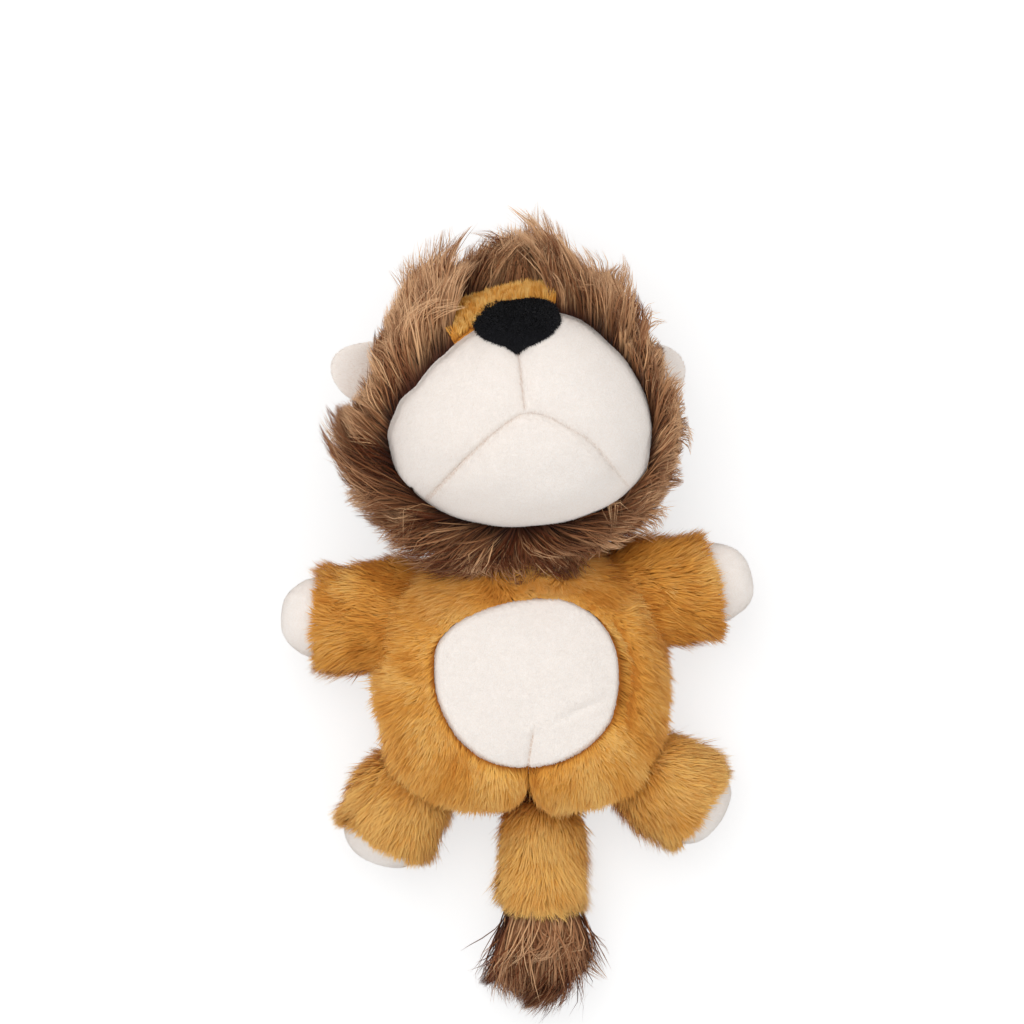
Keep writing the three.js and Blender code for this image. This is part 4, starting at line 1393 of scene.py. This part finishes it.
    def forehead(self) -> None:
        """Makes the strip of short golden pile between the nose and the crown."""
        start, end = self.forehead_span
        cloth = Cloth(self.local(self.form.place), 7)
        cloth.keep(lambda p: -self.face_level(p))
        cloth.keep(lambda p: self.middle[2] + self.forehead_foot - p[:, 2])
        cloth.keep(self.between(start, end))
        cloth.press(lambda p: hump(self.face_level(p), 2.0) * 1.5 + 0.6)
        draw = np.random.default_rng(53)
        points, normals = cloth.scatter(self.forehead_strands, draw)
        own = self.inner(points)
        rise = 0.55 * smooth(own[:, 2], self.forehead_foot + 1, 12)[:, None]
        aim = unit(normals * 0.9 + np.array([0, 0.15, 0]) + UPWARD * rise)
        fall = unit(normals * 0.35 + np.array([0.05, 0.9, 0]) + UPWARD * rise * 0.5)
        tone = 0.56 + 0.2 * Drift(9, 54).at(points)
        reach = np.interp(own[:, 0], (-36, -14, 0, 8, 16), (0.62, 0.58, 0.85, 1.0, 0.85))
        fur = Pile(
            length=9.4, width=0.42, unruly=0.14, tuft_size=22, tuft_pull=0.7, gather=1.5,
            curl=0.16, tuft_tone_spread=0.2, softness=0.75,
        )
        roots = Roots(points, unit(normals + UPWARD), aim, fall, reach, tone)
        parts = [backing(cloth, along=0.5), fur.grow(roots, draw)]
        Piece("forehead_fur", "forehead_panel", GOLDEN_FUR, "head").dress(parts)

    def build(self) -> None:
        """Makes the head's pieces."""
        self.muzzle()
        self.nose()
        self.forehead()
        Mane(self).build()
        fill = self.local(lambda d: self.form.place(d, -self.stuffing_depth))
        wadding("head_wadding", "head_stuffing", "head", fill, 55)
        wadding("neck_wadding", "neck_stuffing", "neck", self.neck.place, 56)


@dataclass
class Mane:
    """The long brown pile round the face, in four panels and one at the back of the head."""

    head: Head
    flow: Round = Round(
        (0, 20, 40, 55, 70, 85, 95, 108, 120, 133, 150, 163, 175, 190, 205, 225, 245, 255,
         262, 270, 278, 285, 295, 312, 330, 345),
        (84, 94, 100, 106, 116, 106, 78, 54, 58, 73, 86, 92, 102, 113, 125, 142, 168, 195,
         225, 280, 325, 350, 372, 394, 412, 430),
        360.0,
    )
    flick: Round = Round(
        (0, 40, 70, 95, 120, 150, 170, 180, 190, 205, 225, 245, 262, 278, 300, 330, 345),
        (-24, -8, 0, 0, 0, 8, 16, 34, 38, 34, 26, 20, 0, 0, -10, -14, -20),
    )
    reach: Round = Round(
        (0, 20, 40, 70, 85, 95, 108, 120, 133, 150, 163, 175, 190, 205, 225, 245, 262, 278,
         295, 312, 330, 345),
        (0.75, 0.8, 0.95, 0.95, 0.95, 0.95, 1.05, 1.15, 1.15, 0.95, 0.85, 0.8, 0.9, 1.0, 1.0,
         0.98, 0.94, 0.82, 0.82, 0.92, 0.9, 0.8),
    )
    outline: Round = Round(
        (2, 6, 16, 23, 31, 36, 43, 46, 53, 57, 61, 67, 70, 75, 79, 85, 93, 97, 103, 111, 117,
         121, 125, 128, 134, 140, 146, 152, 160, 167, 172, 177, 184, 192, 203, 214, 222, 232,
         240, 248, 257, 272, 282, 293, 305, 317, 322, 329, 337, 342, 347, 355),
        (67, 66, 67, 67, 67, 68, 67, 70, 74, 79, 79, 74, 73, 78, 83, 87, 88, 87, 84, 80, 80,
         83, 84, 82, 80, 79, 76, 73, 69, 69.5, 77, 81, 80, 76, 74, 73, 74, 76,
         77, 71.5, 66, 62, 60, 61.5, 65, 67, 67, 66, 66, 68, 68, 65),
    )
    stray_share: int = 6  # one strand in so many is part of a stray lock
    ears: tuple[str, ...] = ("ear_left_fold", "ear_right_fold")
    drift: Drift = field(default_factory=lambda: Drift(30, 61))
    cross: Drift = field(default_factory=lambda: Drift(13, 62))

    def near_ear(self, points: Array) -> Array:
        """How much a strand is held short so that an ear shows, from 0 to 1."""
        held = np.zeros(len(points))
        for joint in self.ears:
            own = joint_seat(joint).back(points)
            beside = 1 - smooth(np.abs(own[:, 1]), 12, 19)
            held = np.maximum(held, beside * smooth(own[:, 0], -16, -8))
        return held

    def roots(self, points: Array, normals: Array) -> Roots:
        """The mane's roots, each with its own way to set out and fall."""
        bearing, height = self.head.bearing(points), self.head.inner(points)[:, 2]
        beard = hump(off_bearing(bearing, 272), 30)
        calm = hump(off_bearing(bearing, 95), 40)
        swing = (16 - 8 * calm) * self.drift.at(points) + (9 - 5 * calm) * self.cross.at(points)
        swing += beard * 50 * self.cross.at(points * 0.8)
        turn = self.flow.at(bearing) + swing
        way = heading(turn)
        last = heading(turn + self.flick.at(bearing))
        start, end = self.head.forehead_span
        strip = smooth(bearing, start - 22, start - 3) * smooth(-bearing, -end - 22, -end - 2)
        front = smooth(height, -12, 14)[:, None] * (1 - strip[:, None])
        lift = 0.36 * front * (1 - 0.75 * beard[:, None]) - 0.08 * strip[:, None]
        lift -= 0.5 * smooth(height, 16, 38)[:, None]
        aim = normals * 0.45 + way * 0.78 + UPWARD * lift
        fall = last * 0.95 + normals * 0.16 - UPWARD * (0.12 + 0.15 * (1 - front))
        reach = self.reach.at(bearing) * (0.8 + 0.2 * smooth(height, -30, 5))
        below_chin = smooth(bearing, 222, 236) * smooth(-bearing, -318, -304)
        under_chin = smooth(-height, 4, 12) * below_chin
        reach *= 1 - 0.72 * under_chin
        reach *= 1 - 0.3 * self.near_ear(points)
        low_left = hump(off_bearing(bearing, 208), 24)
        tone = 0.53 + 0.16 * self.drift.at(points * 1.7) - 0.39 * beard - 0.14 * low_left
        tone += 0.08 * calm
        shown = unit(normals + 0.25 * UPWARD)
        return Roots(points, shown, unit(aim), unit(fall), reach, tone)

    def trimmed(self, paths: Array, proud: Array) -> Array:
        """Strands cut short where they would pass the outline that the mane is trimmed to.

        Args:
            paths: the places of each strand's joints.
            proud: how far beyond the outline each strand may stand.

        Returns:
            The places of the joints of the shortened strands.
        """
        root, bearing = self.head.inner(paths[:, 0]), self.head.bearing(paths[:, 0])
        by_ear = smooth(bearing, 136, 148) * smooth(-bearing, -190, -172)
        proud = proud * (1 - 0.6 * by_ear)
        joints = paths.shape[1] - 1

        def beyond(share: Array) -> Array:
            """How far the outermost joint of each shortened strand lies outside the outline."""
            most = np.full(len(root), -99.0)
            for joint in range(1, joints + 1):
                place = root + (paths[:, joint] - paths[:, 0]) * share[:, None]
                far = np.hypot(place[:, 0], place[:, 1])
                edge = self.outline.at(plan_angle(place, (0, 0)))
                slack = proud * joint / joints
                most = np.maximum(most, far - edge - slack)
            return most

        short, whole = np.full(len(root), 0.25), np.ones(len(root))
        outside = beyond(whole) > 0
        for _ in range(7):
            half = (short + whole) / 2
            over = beyond(half) > 0
            short, whole = np.where(over, short, half), np.where(over, half, whole)
        share = np.where(outside, short, 1.0)
        return paths[:, :1] + (paths - paths[:, :1]) * share[:, None, None]

    def panel(self, name: str, node: str, levels: list[Level], count: int, seed: int) -> None:
        """Makes one panel of the mane.

        Args:
            name: of the piece.
            node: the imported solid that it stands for.
            levels: what it is cut by.
            count: how many strands.
            seed: of the random draw.
        """
        cloth = Cloth(self.head.local(self.head.form.place), 6)
        for level in levels:
            cloth.keep(level)
        cloth.press(lambda p: 0.6 + 2.2 * hump(self.head.face_level(p), 3.0))
        draw = np.random.default_rng(seed)
        stray = count // self.stray_share
        points, normals = cloth.scatter(count - stray, draw)
        hair = Nap.LONG.grow(self.roots(points, normals), draw, self.trimmed)
        points, normals = cloth.scatter(stray, draw)
        over = self.roots(points, normals)
        over.aim = unit(over.aim + 0.3 * normals)
        over.tone = over.tone + 0.2
        locks = Nap.STRAY_LOCKS.grow(over, draw, self.trimmed)
        Piece(name, node, MANE_FUR, "head").dress([backing(cloth, 0.2), hair, locks])

    def build(self) -> None:
        """Makes the mane's five panels."""
        head = self.head
        nape = head.middle[2] + head.nape_seam

        def off_forehead(points: Array) -> Array:
            """Positive inside the forehead's strip."""
            start, end = head.forehead_span
            inside = np.minimum(head.bearing(points) - start, end - head.bearing(points))
            foot = points[:, 2] - head.middle[2] - head.forehead_foot
            return np.minimum(inside, foot)

        common = [lambda p: -head.face_level(p), off_forehead, lambda p: nape - p[:, 2]]
        panels = (
            ("mane_crown", "mane_crown_panel", 48, 132, 71),
            ("mane_left", "mane_left_panel", 132, 223, 72),
            ("mane_beard", "mane_beard_panel", 223, 317, 73),
            ("mane_right", "mane_right_panel", 317, 408, 74),
        )
        for name, node, start, end, seed in panels:
            self.panel(name, node, common + [head.between(start, end)], head.mane_strands, seed)
        above = [lambda p: p[:, 2] - nape]
        self.panel("mane_back", "head_back_panel", above, head.nape_strands, 75)


@dataclass(frozen=True)
class Ear:
    """A velboa ear of two cloths, sewn round its edge. Millimetres, in its own frame."""

    side: str
    tilt: float
    droop: float  # how far the tip lies to the own frame's side
    seed: int
    reach: float = 26.0
    inside: float = 9.0  # how far the ear runs on into the head
    half_height: float = 15.2
    thickness: float = 4.0
    cup: float = 3.0
    gather: float = 0.16  # share by which the ear is drawn in at its fold
    tip_lift: float = 1.6
    strands: int = 7000

    def shape(self, directions: Array) -> Array:
        """A flat flap, gathered at its fold line and cupped to the front."""
        half = self.thickness / 2
        form = StuffedForm.lengthwise(0, self.inside, self.reach, self.half_height, half, 2.0)
        points = form.place(directions)
        points[:, 1] *= 1 - self.gather * (1 - smooth(points[:, 0], -4, 12))
        edge = (points[:, 1] / self.half_height) ** 2
        points[:, 1] += self.droop * smooth(points[:, 0], -2, 20)
        points[:, 2] += self.cup * (edge - 0.35) * smooth(points[:, 0], -6, 10)
        points[:, 2] += self.tip_lift * smooth(points[:, 0], 10, self.reach)
        return points

    def build(self) -> None:
        """Makes the ear's front and back cloth."""
        seat = joint_seat(f"ear_{self.side}_fold", tilt=self.tilt)
        for face, sign in (("front", 1), ("back", -1)):
            cloth = Cloth(lambda d: d, 5).keep(lambda d, s=sign: -s * d[:, 2])
            cloth.move(lambda d: seat.carry(self.shape(d)))
            # painted shade: the ear darkens towards its fold, where it meets the head under the mane
            tone = lambda p: 0.56 - 0.5 * (1 - smooth(seat.back(p)[:, 0], 0, 24))
            flow = steady(seat.axes()[0])
            parts = napped(cloth, self.strands, flow, tone, self.seed + sign, 0.8)
            name = f"ear_{self.side}_{face}"
            Piece(name + "_velboa", name, WHITE_VELBOA, f"ear_{self.side}", None).dress(parts)


class Tip(Enum):
    """What a limb ends in."""

    PAW = "paw"
    SOLE = "sole"
    TUFT = "tuft"


@dataclass(frozen=True)
class Limb:
    """A golden sleeve with its paw, sole or tuft. Millimetres, in its own frame."""

    name: str
    heading: float
    seed: int
    sleeve_length: float = 35.5
    half_width: float = 23.5
    half_height: float = 21.0
    stuffing_depth: float = 9.0
    bend: tuple[float, float] = (-5.0, 9.0)  # where the sleeve starts and ends to bend
    tip: Tip = Tip.PAW
    tip_reach: float = 12.5
    tip_half_width: float = 17.5
    tip_half_height: float = 15.5
    tip_inside: float = 7.0
    tip_strands: int = 9000
    tuft_half_width: float = 12.5
    tuft_half_height: float = 10.5
    tuft_strands: int = 10000
    tuft_wisps: int = 320
    cloth_depth: float = 5.0
    strands: int = 19000
    reach_in: float = 19.0
    tone: float = 0.5
    cuff_depth: float = 7.0  # of the sleeve's cloth edge under its pile's end
    cuff_bulge: float = 5.5  # how far the cuff's middle lies beyond its sides
    squareness: float = 3.0
    shoulder: float = 0.0  # how much wider the root is, on the side that the sign tells

    def seat(self) -> Seat:
        """Where the limb leaves the torso."""
        return joint_seat(f"{self.name}_lift", self.heading)

    def barrel(self, depth: float) -> StuffedForm:
        """The sleeve's stuffed form at a depth under its pile."""
        middle = self.sleeve_length * 0.4
        wide, high = self.half_width - depth, self.half_height - depth
        beyond = (self.sleeve_length - middle) / 0.66
        return BarrelForm.lengthwise(middle, self.reach_in, beyond, wide, high, self.squareness)

    def past_cuff(self, own: Array) -> Array:
        """How far places of the own frame lie beyond the edge of the sleeve's cloth."""
        bulge = self.cuff_bulge * (0.4 - (own[:, 1] / self.half_width) ** 2)
        return own[:, 0] - (self.sleeve_length - self.cuff_depth) - bulge

    def sleeve(self) -> None:
        """Makes the sleeve, which bends between the torso and the limb."""
        seat = self.seat()
        lumps = Drift(20, self.seed)

        def shape(directions: Array) -> Array:
            """The sleeve's cloth."""
            points = self.barrel(self.cloth_depth).place(directions)
            drawn = hump(points[:, 0] - self.sleeve_length + self.cuff_depth, 4.0) * 0.06
            points[:, 1:] *= (1 - drawn)[:, None]
            points[:, 1:] *= (1 + 0.025 * lumps.at(points))[:, None]
            sided = np.maximum(points[:, 1] * np.sign(self.shoulder), 0) / self.half_width
            points[:, 1] += self.shoulder * sided * (1 - smooth(points[:, 0], -4, 20))
            return seat.carry(points)

        cloth = Cloth(shape, 5)
        cloth.keep(lambda p: self.past_cuff(seat.back(p)))
        draw = np.random.default_rng(self.seed)
        points, normals = cloth.scatter(self.strands, draw)
        own = seat.back(points)
        out = seat.axes()[0]
        swirl = Drift(28, self.seed + 1).at(points)[:, None]
        flow = out + 0.35 * swirl * seat.axes()[1] + np.array([0, -0.15, -0.1])
        last = smooth(self.past_cuff(own), -10, 0)
        flow -= out * (0.55 * last)[:, None]
        reach = 0.75 + 0.25 * smooth(own[:, 0], 0, 12) - 0.3 * last
        reach *= 1 + 0.12 * Drift(16, self.seed + 9).at(points)
        tone = self.tone + 0.15 * Drift(20, self.seed + 2).at(points)
        # painted shade: the pile darkens towards the torso, in the crease where the limb joins it
        tone -= 0.2 * (1 - smooth(own[:, 0], 2, 13))
        lean = 43 - 20 * last
        shown = (own[:, 0] > 2) | ~Torso.form.holds(points, -9)
        roots = combed(points, normals, flow, lean, 28, reach, tone).pick(shown)
        parts = [backing(cloth), Nap.GOLDEN.grow(roots, draw)]
        start, end = seat.carry(np.array([[along, 0, 0] for along in self.bend]))
        name = f"{self.name}_sleeve"
        bend = (self.name, tuple(start), tuple(end))
        Piece(name + "_fur", name, GOLDEN_FUR, "torso", bends_with=bend).dress(parts)

    def velboa_tip(self) -> None:
        """Makes the paw or sole that fills the sleeve's end."""
        seat = self.seat()
        inside, wide, high = self.tip_inside, self.tip_half_width, self.tip_half_height
        form = StuffedForm.lengthwise(
            self.sleeve_length - inside, inside + 8, inside + self.tip_reach - 1, wide, high
        )
        cloth = Cloth(lambda d: seat.carry(form.place(d)), 5)
        start = self.sleeve_length - self.cuff_depth - 4
        cloth.keep(lambda p: start - seat.back(p)[:, 0])
        cuff = lambda p: hump(seat.back(p)[:, 0] - start - 3, 3.5)
        lumps = Drift(18, self.seed + 3)
        cloth.press(lambda p: 0.9 * cuff(p) + 0.3 * lumps.at(p))
        flow = steady(seat.axes()[0] + np.array([0, -0.4, 0]))
        # painted shade: the paw or sole darkens where it goes in under the sleeve's cuff
        tone = lambda p: 0.6 - 0.3 * cuff(p)
        parts = napped(cloth, self.tip_strands, flow, tone, self.seed + 4)
        name = f"{self.name}_{self.tip.value}"
        Piece(name + "_velboa", name, WHITE_VELBOA, self.name, 0.85).dress(parts)

    def tuft(self) -> None:
        """Makes the tail's brush of long brown pile, drawn to pointed locks."""
        seat = self.seat()
        wide, high = self.tuft_half_width, self.tuft_half_height
        base = StuffedForm.lengthwise(self.sleeve_length - 6, 5, 12, wide, high)
        cloth = Cloth(lambda d: seat.carry(base.place(d)), 5)
        cloth.keep(lambda p: self.sleeve_length - 8 - seat.back(p)[:, 0])
        draw = np.random.default_rng(self.seed + 5)
        points, normals = cloth.scatter(self.tuft_strands, draw)
        own = seat.back(points)
        out, side, upward = seat.axes()
        spread, rise = own[:, 1:2] / wide, own[:, 2:3] / high
        aim = unit(normals * 0.3 + out)
        fall = unit(out - side * 0.16 * spread - upward * 0.3 * rise)
        tone = 0.24 + 0.16 * Drift(12, self.seed + 6).at(points)
        middle = 1 - 0.1 * np.clip(spread[:, 0] ** 2, 0, 1) - 0.02 * (own[:, 0] - 41)
        hair = Pile(
            length=42.5, width=0.6, bends=5, unruly=0.025, length_spread=0.1, tuft_size=18,
            tuft_pull=0.9, lock_size=40, lock_pull=0.94, gather=1.0, lock_length_spread=0.18,
            curl=0.75, tone_spread=0.06, tuft_tone_spread=0.08, lock_tone_spread=0.12, roll=22,
            softness=0.72,
        )
        roots = Roots(points, normals, aim, fall, middle, tone)
        parts = [backing(cloth, 0.2), hair.grow(roots, draw)]
        chosen = draw.permutation(len(points))[: self.tuft_wisps]
        wisps = roots.pick(chosen)
        wisps.aim = unit(wisps.aim + normals[chosen] * 0.4)
        wisps.reach = wisps.reach * 0.8
        wisps.tone = wisps.tone + 0.14
        parts.append(Nap.STRAY_LOCKS.grow(wisps, draw))
        Piece("tail_tuft_brush", "tail_tuft", MANE_FUR, self.name, 0.7).dress(parts)

    def build(self) -> None:
        """Makes the limb's pieces."""
        self.sleeve()
        if self.tip is Tip.TUFT:
            self.tuft()
        else:
            self.velboa_tip()
        seat = self.seat()
        middle = self.sleeve_length * 0.6
        wide, high = self.half_width - self.stuffing_depth, self.half_height - self.stuffing_depth
        form = StuffedForm.lengthwise(
            middle, middle - 14, self.sleeve_length - middle + 3, wide, high
        )
        fill = lambda d: seat.carry(form.place(d))
        wadding(f"{self.name}_wadding", f"{self.name}_stuffing", self.name, fill, self.seed + 7)


def limbs() -> list[Limb]:
    """The arms, legs and tail."""
    leg = {
        "sleeve_length": 37.0, "half_width": 22.0, "half_height": 22.0, "tip": Tip.SOLE,
        "tip_reach": 7.0, "tip_half_width": 17.5, "tip_half_height": 17.0, "tone": 0.8,
    }
    arm = {"reach_in": 44.0, "tone": 0.5}
    return [
        Limb("arm_left", 177.0, 100, shoulder=-8.0, **arm),
        Limb("arm_right", 13.0, 120, 34.0, tip_reach=14.0, shoulder=7.0, **arm),
        Limb("leg_left", 244.0, 140, **leg),
        Limb("leg_right", 325.0, 160, **leg),
        Limb("tail", 270.0, 180, 47.0, 18.0, 16.5, tip=Tip.TUFT, squareness=4.0, strands=18000,
             cuff_depth=2.5, cuff_bulge=8.0, tone=0.86),
    ]


@dataclass
class Studio:
    """The plain pale floor, the soft lamps and the camera straight above. Metres."""

    look_at: tuple[float, float] = (-0.00477, 0.07725)
    camera_height: float = 6.0
    focus_height: float = 0.05
    field_width: float = 0.4444
    world_strength: float = 0.79
    key_place: tuple[float, float, float] = (-0.4, 0.7, 1.9)
    key_size: float = 1.6
    key_power: float = 15.0
    floor_white: float = 0.42
    floor_bounce: float = 0.85
    floor_level: float = 1.08

    def camera(self) -> None:
        """Makes the camera, straight above, with the head at the top of the picture."""
        data = bpy.data.cameras.new("camera_above")
        data.sensor_width = 36.0
        data.lens = 36.0 * (self.camera_height - self.focus_height) / self.field_width
        data.clip_end = 50.0
        made = placed("camera_above", data)
        made.location = (*self.look_at, self.camera_height)
        bpy.context.scene.camera = made

    def floor(self) -> None:
        """Makes the floor, which shows white but keeps the lion's soft shadow."""
        bm = bmesh.new()
        bmesh.ops.create_grid(bm, x_segments=2, y_segments=2, size=20.0)
        mesh = bpy.data.meshes.new("studio_floor")
        bm.to_mesh(mesh)
        bm.free()
        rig.stage(placed("studio_floor", mesh))
        finish = bpy.data.materials.new("studio_floor")
        finish.use_nodes = True
        nodes = Nodes(finish.node_tree)
        seen = nodes.seen()
        glow = nodes.math("MULTIPLY", seen, self.floor_level - self.floor_white)
        shown, bounced = ((*[v] * 3, 1) for v in (self.floor_white, self.floor_bounce))
        pale = nodes.mix(seen, bounced, shown)
        shader = nodes.add(
            "BsdfPrincipled", Base_Color=pale, Roughness=1.0, Specular_IOR_Level=0.0
        )
        shader.inputs["Emission Color"].default_value = (1, 1, 1, 1)
        nodes.feed(shader.inputs["Emission Strength"], glow)
        nodes.feed(nodes.add("OutputMaterial").inputs[0], shader.outputs[0])
        mesh.materials.append(finish)

    def lamp(self, name: str, place: tuple, power: float, size: float) -> None:
        """Makes a soft square lamp that faces the lion."""
        data = bpy.data.lights.new(name, "AREA")
        data.energy = power
        data.size = size
        made = placed(name, data)
        made.location = place
        aim = Vector((*self.look_at, self.focus_height)) - made.location
        made.rotation_euler = aim.to_track_quat("-Z", "Y").to_euler()

    def world(self) -> None:
        """Makes the even light from all round, white where the camera sees it."""
        world = bpy.data.worlds.new("studio_world")
        world.use_nodes = True
        nodes = Nodes(world.node_tree)
        strength = nodes.add("MapRange", Value=nodes.seen(), To_Min=self.world_strength, To_Max=1.0)
        back = nodes.add("Background", Color=(1, 1, 1, 1), Strength=strength.outputs[0])
        nodes.feed(nodes.add("OutputWorld").inputs[0], back.outputs[0])
        bpy.context.scene.world = world

    def build(self) -> None:
        """Makes everything that isn't the lion."""
        self.camera()
        self.floor()
        self.world()
        self.lamp("key_lamp", self.key_place, self.key_power, self.key_size)
        bpy.context.scene.view_settings.view_transform = "Standard"


def write_sizes() -> None:
    """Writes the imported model's box and the dressed lion's box."""
    boxes = {"cad": cad_box, "visual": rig.bounds()}
    with open(SIZE_FILE, "w") as target:
        json.dump({name: [list(corner) for corner in box] for name, box in boxes.items()}, target)


def main() -> None:
    """Builds the studio and the lion, in order."""
    logging.basicConfig(level=logging.INFO, format="%(name)s: %(message)s")
    Studio().build()
    Torso().build()
    Head().build()
    Ear("left", 0.0, 3.2, 91).build()
    Ear("right", 30.0, -3.2, 95).build()
    for limb in limbs():
        limb.build()
    write_sizes()


if __name__ == "__main__":
    main()
